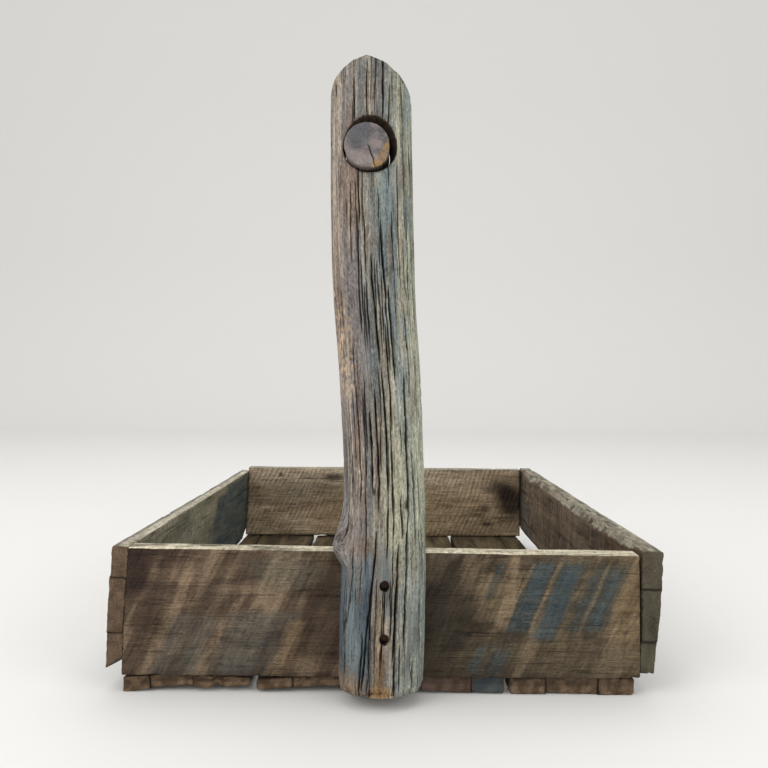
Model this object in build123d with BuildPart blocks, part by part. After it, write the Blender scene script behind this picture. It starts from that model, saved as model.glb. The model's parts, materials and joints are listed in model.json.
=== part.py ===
"""Carrying tray for seed corn.

A shallow tray of rough-sawn boards stands on its own floor boards. Half of a split log is spiked to each
end of it, and a round pole lies loose in a hole near the top of each log. The tray is carried by the pole.

Frame: millimetres, +X to the right, +Y from the front log to the rear log, +Z up. The origin is the centre
of the footprint, on the ground.
"""

import math
import os

from build123d import *

os.makedirs("parts", exist_ok=True)

# ---------------------------------------------------------------- driving sizes
overall_width = 530.0  # over the outer faces of the side boards
tray_length = 560.0  # over the outer faces of the end boards
floor_thickness = 16.5  # the end boards stand on the floor boards, at this height

end_thickness = 17.0
end_lean_left = 5.6  # the left end of each end board runs in by this much towards the top
end_lean_right = 1.4
front_top_left = 121.5  # height of the front end board at its left end
front_top_right = 117.5
rear_top_left = 121.0
rear_top_right = 120.0

side_height = 116.0
left_thickness = 15.2
left_foot = 6.0  # gap under the left side board's front end, above the floor's top
left_drop = 8.5  # the left side board hangs this much lower at its rear end
right_thickness_top = 19.5
right_thickness_bottom = 13.0
right_foot = 5.0
right_flare = 1.6  # the right side board stands out by this much at its top
# Where the side boards' lower inner edges are broken away: distance from the end board's outer face,
# and height of the break there, which is below the board where there is none.
break_slope = 0.87
left_front_break = ((0.0, 13.2), (45.0, 0.0))
left_rear_break = ((42.0, 0.0), (0.0, 22.0))
right_break = ((-1.0, 17.5), (20.0, 11.5), (360.0, 11.5), (500.0, -2.0))  # from the rear end

floor_gap = 5.6  # between two floor boards
floor_gap_left = 1.2  # between the floor and the left end of the end boards
floor_gap_right = 4.8
floor_setback = 2.0  # floor boards end this far inside the end boards' outer faces
floor_shares = (0.257, 0.254, 0.237, 0.252)  # of the floor's width, gaps left out
# Height of each floor board's upper and lower face at its left edge, middle and right edge. The boards are
# cupped and unevenly sawn, so only some of them reach the ground.
floor_upper = ((-2.5, 0.0, -2.5), (-4.5, 0.0, 0.0), (0.0, 0.0, 0.0), (-1.0, 0.0, -1.0))
floor_lower = ((0.0, 4.5, 5.5), (2.0, 7.0, 8.5), (3.0, 1.2, 0.0), (0.0, 0.0, 0.0))

post_foot = 14.0  # height of the posts' lower ends above the ground
post_top = 590.0  # height of the posts' tips
post_depth = 36.0
post_flank = 7.0  # flat stretch of each flank, next to the end board
# Height above the ground, offset of the centre line and width of each post, from its foot upwards.
front_stations = (
    (0.0, -4.0, 79.5),
    (60.0, -2.3, 79.3),
    (115.0, -1.2, 78.6),
    (190.0, -0.8, 76.2),
    (262.0, -3.6, 75.6),
    (327.0, -7.8, 75.7),
    (375.0, -11.4, 76.2),
    (425.0, -13.6, 76.5),
    (475.0, -14.9, 76.4),
    (535.0, -15.9, 76.0),
    (600.0, -16.6, 75.4),
)
rear_stations = (
    (0.0, -6.0, 78.0),
    (110.0, -9.5, 76.0),
    (250.0, -14.0, 77.5),
    (400.0, -17.5, 75.2),
    (470.0, -17.4, 76.2),
    (535.0, -16.8, 76.0),
    (600.0, -16.0, 74.8),
)
# Share of the half width and drop below the tip, along the hewn top of a post.
top_outline = (
    (-1.3, 60.0),
    (-1.0, 24.0),
    (-0.86, 14.5),
    (-0.45, 4.5),
    (-0.08, 0.0),
    (0.32, 5.0),
    (0.7, 14.0),
    (0.86, 20.5),
    (1.0, 29.0),
    (1.3, 60.0),
)
knot_radius = 22.0
knot_height = 144.0
knot_reach = 9.2  # the knot stands this far out of the post's left flank
knot_depth = 14.0  # of the knot's middle, from the end board
knot_rise = 46.0  # the knot fades out this far above its widest place
knot_fall = 20.0

pole_radius = 20.5
pole_overhang = 5.0  # beyond the outermost face of each post
pole_chamfer = 1.5
pole_bevel = 7.0  # hewn bevel on the lower right of the front end
pole_bevel_angle = -32.0
hole_radius = 25.0  # where it opens outwards; it narrows to the pole's size at the end board
hole_height = 510.5
hole_offset = -15.6
pole_gap = 0.3  # between the pole and the side of the hole that it lies against
pole_rest_angle = 219.0  # where it lies in the hole, from +X towards +Z

nail_radius = 1.5
nail_head_radius = 3.4
nail_head_thickness = 1.2
nail_point = 4.0
nail_sink = 0.8
side_nail_length = 45.0
floor_nail_length = 42.0
left_nail_shares = (0.30, 0.75)  # of the side board's height
right_nail_shares = (0.25, 0.70)
floor_nail_shares = (0.27, 0.73)  # of the floor board's width
spike_radius = 2.6
spike_head_radius = 4.2
spike_head_thickness = 2.0
spike_length = 42.0
spike_sink = 7.0  # the spikes' heads are driven in this deep
spike_heights = (66.5, 114.5)
front_spike_offset = 0.0
rear_spike_offset = -9.0

clear = 20.0  # how far cutting tools run past what they cut

# ---------------------------------------------------------------- derived places
half_length = tray_length / 2
left_lean = math.atan2(end_lean_left, front_top_left)
right_lean = math.atan2(right_flare, side_height)
left_low = left_foot - left_drop
left_edge = left_thickness * math.cos(left_lean) - left_low * math.sin(left_lean) - overall_width / 2
right_rise = (right_foot + side_height) * math.sin(right_lean)
right_edge = overall_width / 2 - right_thickness_top * math.cos(right_lean) - right_rise
floor_left = left_edge + floor_gap_left
floor_wood = right_edge - floor_gap_right - floor_left - (len(floor_shares) - 1) * floor_gap
end_nail_place = half_length - end_thickness / 2  # nails run up the middle of the end boards' edges
pole_shift = hole_radius - pole_radius - pole_gap
pole_x = hole_offset + pole_shift * math.cos(math.radians(pole_rest_angle))
pole_height = hole_height + pole_shift * math.sin(math.radians(pole_rest_angle))
pole_length = tray_length + 2 * (post_depth + pole_overhang)
hole_drift_x = hole_offset - pole_x  # from the hole's narrow side to its wide one
hole_drift_z = hole_height - pole_height

# Local x runs out of the tray from the end boards' ends, local y up the side board's inner face.
left_face = Plane(
    origin=(left_edge, -half_length, floor_thickness),
    x_dir=(-math.cos(left_lean), 0, math.sin(left_lean)),
    z_dir=(0, 1, 0),
)
right_face = Plane(
    origin=(right_edge, half_length, floor_thickness),
    x_dir=(math.cos(right_lean), 0, -math.sin(right_lean)),
    z_dir=(0, -1, 0),
)


def save(builder, name):
    """Labels a finished piece and writes it under its own name."""
    builder.part.label = name
    export_step(builder.part, f"parts/{name}.step")


# ---------------------------------------------------------------- fasteners
def nail(shank, head, head_thickness, length, recess=0.0):
    """A nail with its head's top at the origin, pointing down -Z. With a recess, the cutter for its hole."""
    with BuildPart() as made:
        with BuildSketch(Plane.XZ):
            with BuildLine():
                Polyline(
                    (0, recess),
                    (head, recess),
                    (head, -head_thickness),
                    (shank, -head_thickness),
                    (shank, nail_point - length),
                    (0, -length),
                    close=True,
                )
            make_face()
        revolve(axis=Axis.Z)
    return made.part


def nail_group(places, shape):
    """Separate nails, one at each place. A place's z axis points out of the wood."""
    with BuildPart() as made:
        with Locations(*[place.location for place in places]):
            add(shape)
    return made


def left_thickness_at(share):
    """Thickness of the left side board at a share of its height."""
    return left_thickness


def right_thickness_at(share):
    """The right side board is sawn thinner towards its lower edge."""
    return right_thickness_bottom + (right_thickness_top - right_thickness_bottom) * share


def side_nail_places(face, thickness_at, shares, end, foot):
    """Places for the nails of a side board at one end of the tray: end is -1 in front and 1 behind."""
    places = []
    for share in shares:
        up = foot + side_height * share
        start = face.origin + face.x_dir * (thickness_at(share) - nail_sink) + face.y_dir * up
        origin = (start.X, end * end_nail_place, start.Z)
        places.append(Plane(origin=origin, x_dir=(0, 1, 0), z_dir=face.x_dir))
    return places


def between(three, share):
    """Height at a share of the width, from the heights at the left edge, middle and right edge."""
    low, middle, high = three
    if share <= 0.5:
        return low + (middle - low) * 2 * share
    return middle + (high - middle) * (2 * share - 1)


def floor_span(board):
    """Left edge and width of a floor board."""
    left = floor_left + sum(floor_shares[:board]) * floor_wood + board * floor_gap
    return left, floor_shares[board] * floor_wood


def floor_nail_places(board):
    """Places for the four nails of a floor board, with their heads in its lower face."""
    left, width = floor_span(board)
    places = []
    for end in (-1, 1):
        for share in floor_nail_shares:
            height = between(floor_lower[board], share) + nail_sink
            origin = (left + share * width, end * end_nail_place, height)
            places.append(Plane(origin=origin, x_dir=(1, 0, 0), z_dir=(0, 0, -1)))
    return places


def spike_places(end, offset):
    """Places for the two spikes of one post."""
    face = end * (half_length + post_depth - spike_sink)
    out = (0, end, 0)
    return [Plane(origin=(offset, face, height), x_dir=(1, 0, 0), z_dir=out) for height in spike_heights]


side_nail = nail(nail_radius, nail_head_radius, nail_head_thickness, side_nail_length)
side_nail_cut = nail(nail_radius, nail_head_radius, nail_head_thickness, side_nail_length, clear)
floor_nail = nail(nail_radius, nail_head_radius, nail_head_thickness, floor_nail_length)
floor_nail_cut = nail(nail_radius, nail_head_radius, nail_head_thickness, floor_nail_length, clear)
spike = nail(spike_radius, spike_head_radius, spike_head_thickness, spike_length)
spike_cut = nail(spike_radius, spike_head_radius, spike_head_thickness, spike_length, clear)

side_places = {}
for side, face, thickness_at, shares, foot in (
    ("left", left_face, left_thickness_at, left_nail_shares, left_foot),
    ("right", right_face, right_thickness_at, right_nail_shares, right_foot),
):
    for end_name, end in (("front", -1), ("rear", 1)):
        side_places[side, end_name] = side_nail_places(face, thickness_at, shares, end, foot)
        save(nail_group(side_places[side, end_name], side_nail), f"{side}_side_{end_name}_nails")

floor_places = [floor_nail_places(board) for board in range(len(floor_shares))]
for board, places in enumerate(floor_places):
    save(nail_group(places, floor_nail), f"floor_board_{board + 1}_nails")

front_spikes = spike_places(-1, front_spike_offset)
rear_spikes = spike_places(1, rear_spike_offset)
save(nail_group(front_spikes, spike), "front_post_spikes")
save(nail_group(rear_spikes, spike), "rear_post_spikes")


# ---------------------------------------------------------------- end boards
def end_board(end_name, end, top_left, top_right, spikes):
    """An end board. Both of its ends lean in, and its upper edge may fall to one side."""
    with BuildPart() as board:
        with BuildSketch(Plane.XZ.offset(-end * end_nail_place)):
            with BuildLine():
                Polyline(
                    (left_edge, floor_thickness),
                    (right_edge, floor_thickness),
                    (right_edge - end_lean_right, floor_thickness + top_right),
                    (left_edge + top_left * math.tan(left_lean), floor_thickness + top_left),
                    close=True,
                )
            make_face()
        extrude(amount=end_thickness / 2, both=True)
        for side in ("left", "right"):
            with Locations(*[place.location for place in side_places[side, end_name]]):
                add(side_nail_cut, mode=Mode.SUBTRACT)
        for places in floor_places:
            with Locations(*[place.location for place in places]):
                add(floor_nail_cut, mode=Mode.SUBTRACT)
        with Locations(*[place.location for place in spikes]):
            add(spike_cut, mode=Mode.SUBTRACT)
    return board


save(end_board("front", -1, front_top_left, front_top_right, front_spikes), "front_end_board")
save(end_board("rear", 1, rear_top_left, rear_top_right, rear_spikes), "rear_end_board")

# ---------------------------------------------------------------- side boards
def left_foot_at(along):
    """Height of the left side board's lower edge at a distance along it."""
    return left_foot - left_drop * along / tray_length


def left_break_plane(start, end):
    """The plane of a break, from its distance along the left side board and its height at two places."""
    start_point, end_point = (
        left_face.origin + left_face.z_dir * along + left_face.y_dir * (left_foot_at(along) + height)
        for along, height in (start, end)
    )
    across = left_face.x_dir - left_face.y_dir * break_slope
    return Plane(origin=start_point, z_dir=(end_point - start_point).cross(across))


with BuildPart() as left_side:
    with BuildSketch(left_face):
        with BuildLine():
            Polyline(
                (0, left_foot),
                (left_thickness, left_foot),
                (left_thickness, left_foot + side_height),
                (0, left_foot + side_height),
                close=True,
            )
        make_face()
    slope = left_face.z_dir * tray_length - left_face.y_dir * left_drop
    extrude(amount=slope.length, dir=slope)
    split(bisect_by=left_break_plane(*left_front_break), keep=Keep.TOP)
    rear_break = [(tray_length - along, height) for along, height in left_rear_break]
    split(bisect_by=left_break_plane(*rear_break), keep=Keep.TOP)
    for end_name in ("front", "rear"):
        with Locations(*[place.location for place in side_places["left", end_name]]):
            add(side_nail_cut, mode=Mode.SUBTRACT)
save(left_side, "left_side_board")

with BuildPart() as right_side:
    with BuildSketch(right_face):
        with BuildLine():
            Polyline(
                (0, right_foot),
                (right_thickness_bottom, right_foot),
                (right_thickness_top, right_foot + side_height),
                (0, right_foot + side_height),
                close=True,
            )
        make_face()
    extrude(amount=tray_length)
    for along, height in right_break:
        with BuildSketch(right_face.offset(along)):
            with BuildLine():
                lowest = right_foot - clear
                Polyline(
                    (-clear, lowest),
                    ((height + clear) / break_slope, lowest),
                    (-clear, right_foot + height + break_slope * clear),
                    close=True,
                )
            make_face()
    loft(ruled=True, mode=Mode.SUBTRACT)
    for end_name in ("front", "rear"):
        with Locations(*[place.location for place in side_places["right", end_name]]):
            add(side_nail_cut, mode=Mode.SUBTRACT)
save(right_side, "right_side_board")

# ---------------------------------------------------------------- floor boards
for board, places in enumerate(floor_places):
    left, width = floor_span(board)
    across = (left, left + width / 2, left + width)
    lower = list(zip(across, floor_lower[board]))
    upper = [(x, floor_thickness + height) for x, height in zip(across, floor_upper[board])]
    with BuildPart() as floor_board:
        with BuildSketch(Plane.XZ):
            with BuildLine():
                Polyline(*lower, *reversed(upper), close=True)
            make_face()
        extrude(amount=half_length - floor_setback, both=True)
        with Locations(*[place.location for place in places]):
            add(floor_nail_cut, mode=Mode.SUBTRACT)
    save(floor_board, f"floor_board_{board + 1}")


# ---------------------------------------------------------------- posts
def post(end, stations, spikes, knotted):
    """A half-round post on the outside of an end board: end is -1 in front and 1 behind."""
    back = end * half_length
    flank = back + end * post_flank
    inner = back - end * clear / 2
    top_centre, top_width = stations[-1][1:]
    middle = back + end * post_depth / 2
    with BuildPart() as made:
        for height, centre, width in stations:
            with BuildSketch(Plane.XY.offset(height)):
                with BuildLine():
                    left = centre - width / 2
                    right = centre + width / 2
                    Polyline((left, flank), (left, inner), (right, inner), (right, flank))
                    EllipticalCenterArc(
                        (centre, flank),
                        width / 2,
                        post_depth - post_flank,
                        start_angle=0,
                        arc_size=end * 180,
                    )
                make_face()
        loft()
        if knotted:
            station = min(stations, key=lambda s: abs(s[0] - knot_height))
            knot_x = station[1] - station[2] / 2 - knot_reach + knot_radius
            knot_y = back + end * knot_depth
            with BuildSketch(Plane.XZ.offset(-knot_y)):
                with BuildLine():
                    centre = (knot_x, knot_height)
                    EllipticalCenterArc(centre, knot_radius, knot_rise, start_angle=90, arc_size=90)
                    EllipticalCenterArc(centre, knot_radius, knot_fall, start_angle=180, arc_size=90)
                    Line((knot_x, knot_height - knot_fall), (knot_x, knot_height + knot_rise))
                make_face()
            revolve(axis=Axis((knot_x, knot_y, 0), (0, 0, 1)))
        # The flat that lies on the end board, and the sawn foot.
        split(bisect_by=Plane(origin=(0, back, 0), z_dir=(0, end, 0)), keep=Keep.TOP)
        split(bisect_by=Plane.XY.offset(post_foot), keep=Keep.TOP)
        # The hewn top.
        with BuildSketch(Plane.XZ.offset(-middle)):
            with BuildLine():
                half = top_width / 2
                outline = [(top_centre + share * half, post_top - drop) for share, drop in top_outline]
                over = post_top + clear
                Polyline(*outline, (outline[-1][0], over), (outline[0][0], over), close=True)
            make_face()
        extrude(amount=post_depth, both=True, mode=Mode.SUBTRACT)
        # The hole, worn wider on its outer side: its wall stays along the pole where the pole lies on it.
        for share in (-0.5, 1.5):
            with BuildSketch(Plane.XZ.offset(-back - end * share * post_depth)):
                with Locations((pole_x + share * hole_drift_x, pole_height + share * hole_drift_z)):
                    Circle(pole_radius + pole_gap + share * pole_shift)
        loft(ruled=True, mode=Mode.SUBTRACT)
        with Locations(*[place.location for place in spikes]):
            add(spike_cut, mode=Mode.SUBTRACT)
    return made


save(post(-1, front_stations, front_spikes, True), "front_post")
save(post(1, rear_stations, rear_spikes, False), "rear_post")

# ---------------------------------------------------------------- carrying pole
with BuildPart() as pole:
    with Locations(Location((pole_x, 0, pole_height), (90, 0, 0))):
        Cylinder(pole_radius, pole_length)
    chamfer(pole.edges().filter_by(GeomType.CIRCLE), pole_chamfer)
    bevel_x = math.cos(math.radians(pole_bevel_angle))
    bevel_z = math.sin(math.radians(pole_bevel_angle))
    bevel_from = pole_radius - pole_bevel
    bevel_origin = (pole_x + bevel_from * bevel_x, -pole_length / 2, pole_height + bevel_from * bevel_z)
    split(bisect_by=Plane(origin=bevel_origin, z_dir=(bevel_x, -1, bevel_z)), keep=Keep.BOTTOM)
save(pole, "carrying_pole")
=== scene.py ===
import json
import math

import bpy
import numpy as np
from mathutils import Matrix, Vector
from mathutils.bvhtree import BVHTree
from mathutils.kdtree import KDTree


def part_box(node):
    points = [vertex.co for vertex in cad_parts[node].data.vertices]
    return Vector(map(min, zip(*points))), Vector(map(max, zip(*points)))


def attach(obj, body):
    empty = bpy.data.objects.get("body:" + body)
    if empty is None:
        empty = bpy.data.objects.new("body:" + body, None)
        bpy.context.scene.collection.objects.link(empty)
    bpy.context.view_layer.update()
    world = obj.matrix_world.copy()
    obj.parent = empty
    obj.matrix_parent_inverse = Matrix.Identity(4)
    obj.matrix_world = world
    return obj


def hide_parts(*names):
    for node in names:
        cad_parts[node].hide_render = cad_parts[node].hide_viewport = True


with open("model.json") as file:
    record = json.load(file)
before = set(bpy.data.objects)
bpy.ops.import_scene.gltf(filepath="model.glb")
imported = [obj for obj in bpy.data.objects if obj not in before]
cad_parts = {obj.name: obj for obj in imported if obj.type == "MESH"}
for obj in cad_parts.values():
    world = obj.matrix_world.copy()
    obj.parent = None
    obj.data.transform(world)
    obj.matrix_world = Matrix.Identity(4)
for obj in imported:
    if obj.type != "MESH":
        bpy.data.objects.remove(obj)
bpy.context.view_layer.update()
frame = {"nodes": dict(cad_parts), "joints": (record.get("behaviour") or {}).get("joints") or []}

MM = 0.001


# ---------------------------------------------------------------- numbers and noise
def hashed(ix, iy, iz, seed):
    """Repeatable random numbers from 0 to 1 on a lattice of whole numbers."""
    h = ((ix * 73856093) ^ (iy * 19349663) ^ (iz * 83492791) ^ (seed * 40503077)) & 0xFFFFFFFF
    h = ((h ^ (h >> 16)) * 0x45D9F3B) & 0xFFFFFFFF
    h = ((h ^ (h >> 16)) * 0x45D9F3B) & 0xFFFFFFFF
    return (h ^ (h >> 16)) / 4294967295.0


def noise(x, y=0.0, z=0.0, seed=0):
    """Smooth noise from 0 to 1, with features one unit across."""
    x, y, z = (np.asarray(v, float) for v in np.broadcast_arrays(x, y, z))
    cell = [np.floor(v).astype(np.int64) for v in (x, y, z)]
    f = [v - c for v, c in zip((x, y, z), cell)]
    f = [v * v * (3 - 2 * v) for v in f]
    total = 0.0
    for a in (0, 1):
        for b in (0, 1):
            for c in (0, 1):
                weight = (f[0] if a else 1 - f[0]) * (f[1] if b else 1 - f[1]) * (f[2] if c else 1 - f[2])
                total = total + weight * hashed(cell[0] + a, cell[1] + b, cell[2] + c, seed)
    return total


def layered(x, y=0.0, z=0.0, seed=0, octaves=3):
    """Noise in several layers, each twice as fine and half as strong."""
    total, weight = 0.0, 0.0
    for k in range(octaves):
        s = 2.0**k
        total = total + noise(x * s, np.asarray(y) * s, np.asarray(z) * s, seed + 17 * k) / s
        weight += 1 / s
    return total / weight


def step(low, high, v):
    """0 below low, 1 above high and smooth between them; low may be above high."""
    f = np.clip((v - low) / (high - low), 0, 1)
    return f * f * (3 - 2 * f)


def patch(x, y, cx, cy, rx, ry, soft=0.5):
    """A soft oval patch: 1 in its middle and 0 outside."""
    d = np.sqrt(((x - cx) / rx) ** 2 + ((y - cy) / ry) ** 2)
    return step(1 + soft, 1 - soft, d)


def rgb(r, g, b):
    """Linear colour from usual 0 to 255 values."""
    v = np.array([r, g, b], float) / 255
    return np.where(v <= 0.04045, v / 12.92, ((v + 0.055) / 1.055) ** 2.4)


def tinted(tone, colour, mask):
    """Moves each vertex's tone towards a colour by a mask."""
    return tone + (colour - tone) * np.clip(mask, 0, 1)[:, None]


# ---------------------------------------------------------------- meshes
def normals_of(points, quads, tris):
    total = np.zeros_like(points)
    for faces in (quads, tris):
        if len(faces) == 0:
            continue
        if faces.shape[1] == 4:
            n = np.cross(points[faces[:, 2]] - points[faces[:, 0]], points[faces[:, 3]] - points[faces[:, 1]])
        else:
            n = np.cross(points[faces[:, 1]] - points[faces[:, 0]], points[faces[:, 2]] - points[faces[:, 0]])
        for k in range(faces.shape[1]):
            for axis in range(3):
                total[:, axis] += np.bincount(faces[:, k], n[:, axis], len(points))
    return total / np.maximum(np.linalg.norm(total, axis=1, keepdims=True), 1e-12)


def outward(points, quads, tris):
    """The faces, flipped if they face inwards."""
    volume = 0.0
    for faces in (quads, tris):
        for k in range(1, faces.shape[1] - 1 if len(faces) else 1):
            a, b, c = points[faces[:, 0]], points[faces[:, k]], points[faces[:, k + 1]]
            volume += float(np.einsum("ij,ij->i", a, np.cross(b, c)).sum())
    return (quads, tris) if volume > 0 else (quads[:, ::-1], tris[:, ::-1])


NO_TRIS = np.zeros((0, 3), int)


def mesh_object(name, points, quads, tris=NO_TRIS):
    """A mesh object; points are in millimetres, in the frame."""
    quads, tris = outward(points, quads, tris)
    mesh = bpy.data.meshes.new(name)
    mesh.vertices.add(len(points))
    mesh.vertices.foreach_set("co", (points * MM).astype(np.float32).ravel())
    corners = np.concatenate([quads.ravel(), tris.ravel()]).astype(np.int32)
    mesh.loops.add(len(corners))
    mesh.loops.foreach_set("vertex_index", corners)
    starts = np.concatenate([np.arange(len(quads)) * 4, len(quads) * 4 + np.arange(len(tris)) * 3])
    mesh.polygons.add(len(starts))
    mesh.polygons.foreach_set("loop_start", starts.astype(np.int32))
    mesh.update(calc_edges=True)
    mesh.validate()
    obj = bpy.data.objects.new(name, mesh)
    bpy.context.scene.collection.objects.link(obj)
    return obj


def co_of(obj):
    co = np.zeros(len(obj.data.vertices) * 3, np.float32)
    obj.data.vertices.foreach_get("co", co)
    return co.reshape(-1, 3).astype(float) / MM


def cut(obj, cutters):
    """Cuts the cutters' shapes out of obj and removes them."""
    bpy.context.view_layer.objects.active = obj
    for cutter in cutters:
        m = obj.modifiers.new("cut", "BOOLEAN")
        m.operation = "DIFFERENCE"
        m.solver = "MANIFOLD"
        m.object = cutter
        bpy.ops.object.modifier_apply(modifier=m.name)
    for cutter in cutters:
        bpy.data.objects.remove(cutter)


def dress(obj, looks, material, node, body, sharp=50.0):
    """Gives obj its looks: one value per vertex for each name, its material and its place in the frame."""
    mesh = obj.data
    for name, values in looks.items():
        kind = {1: "FLOAT", 3: "FLOAT_VECTOR"}[1 if values.ndim == 1 else values.shape[1]]
        if name == "tone":
            kind = "FLOAT_COLOR"
            values = np.column_stack([values, np.ones(len(values))])
        attribute = mesh.attributes.new(name, kind, "POINT")
        key = {"FLOAT": "value", "FLOAT_VECTOR": "vector", "FLOAT_COLOR": "color"}[kind]
        attribute.data.foreach_set(key, np.ascontiguousarray(values, np.float32).ravel())
    mesh.materials.clear()
    mesh.materials.append(material)
    mesh.shade_smooth()
    mesh.set_sharp_from_angle(angle=math.radians(sharp))
    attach(obj, body)
    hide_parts(node)
    return obj


def nearest(source, target):
    """For each target point, the index of the nearest source point."""
    tree = KDTree(len(source))
    for i, p in enumerate(source):
        tree.insert(p, i)
    tree.balance()
    return np.array([tree.find(p)[1] for p in target])


def cad_points(node):
    return co_of(frame["nodes"][node])


def solids_of(node):
    """The vertices of each separate solid of a CAD node."""
    mesh = frame["nodes"][node].data
    points = cad_points(node)
    _, same = np.unique(np.round(points, 3), axis=0, return_inverse=True)
    same = same.ravel()
    parent = list(range(same.max() + 1))

    def root(i):
        while parent[i] != i:
            parent[i] = parent[parent[i]]
            i = parent[i]
        return i

    for e in mesh.edges:
        a, b = root(same[e.vertices[0]]), root(same[e.vertices[1]])
        if a != b:
            parent[a] = b
    roots = np.array([root(i) for i in same])
    return [points[roots == r] for r in sorted(set(roots.tolist()))]


def closed_tube(name, grid):
    """A solid from a row of loops, closed at both ends."""
    sides, rings = len(grid[0]), len(grid)
    points = np.concatenate([[grid[0].mean(0)], *grid, [grid[-1].mean(0)]])
    quads, tris = [], []
    for k in range(rings - 1):
        for i in range(sides):
            j = (i + 1) % sides
            quads.append([1 + k * sides + i, 1 + k * sides + j, 1 + (k + 1) * sides + j, 1 + (k + 1) * sides + i])
    last = 1 + (rings - 1) * sides
    for i in range(sides):
        j = (i + 1) % sides
        tris.append([0, 1 + j, 1 + i])
        tris.append([last + sides, last + i, last + j])
    return mesh_object(name, points, np.array(quads), np.array(tris))


def cylinder(name, start, end, radius, sides=48, rings=2, rough=0.0, oval=1.0, seed=0):
    """A closed cylinder from start to end, for cutting."""
    start, end = np.array(start, float), np.array(end, float)
    axis = (end - start) / np.linalg.norm(end - start)
    up = np.array([0, 0, 1.0]) if abs(axis[2]) < 0.9 else np.array([1.0, 0, 0])
    side = np.cross(axis, up)
    side /= np.linalg.norm(side)
    up = np.cross(side, axis)
    angle = np.arange(sides) / sides * 2 * np.pi
    grid = []
    for v in np.linspace(0, 1, rings):
        centre = start + (end - start) * v
        r = radius + rough * noise(np.cos(angle) * 2.5, np.sin(angle) * 2.5, v * 4, seed)
        grid.append(centre + np.outer(np.cos(angle) * r, side) + np.outer(np.sin(angle) * r * oval, up))
    return closed_tube(name, grid)


# ---------------------------------------------------------------- materials
def node(tree, kind, inputs=(), **settings):
    n = tree.nodes.new(kind)
    for key, value in settings.items():
        setattr(n, key, value)
    for key, value in dict(inputs).items():
        if isinstance(value, bpy.types.NodeSocket):
            tree.links.new(value, n.inputs[key])
        else:
            n.inputs[key].default_value = value
    return n


def maths(tree, operation, a, b=0.0, clamp=False):
    return node(tree, "ShaderNodeMath", {0: a, 1: b}, operation=operation, use_clamp=clamp).outputs[0]


def ramp(tree, value, low, high, to_low=0.0, to_high=1.0):
    inputs = {"Value": value, "From Min": low, "From Max": high, "To Min": to_low, "To Max": to_high}
    return node(tree, "ShaderNodeMapRange", inputs, interpolation_type="SMOOTHSTEP").outputs[0]


def mixed(tree, factor, a, b, blend="MIX"):
    n = node(tree, "ShaderNodeMix", data_type="RGBA", blend_type=blend, clamp_factor=True)
    for index, value in ((0, factor), (6, a), (7, b)):
        if isinstance(value, bpy.types.NodeSocket):
            tree.links.new(value, n.inputs[index])
        else:
            n.inputs[index].default_value = value
    return n.outputs[2]


def grainy(tree, grain, scale, detail=4.0, rough=0.55, distortion=0.0):
    """Noise stretched along the grain: scale is in features per metre along, across and through."""
    vector = node(tree, "ShaderNodeVectorMath", {0: grain, 1: scale}, operation="MULTIPLY").outputs[0]
    inputs = {"Vector": vector, "Scale": 1.0, "Detail": detail, "Roughness": rough, "Distortion": distortion}
    return node(tree, "ShaderNodeTexNoise", inputs).outputs[0]


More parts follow.
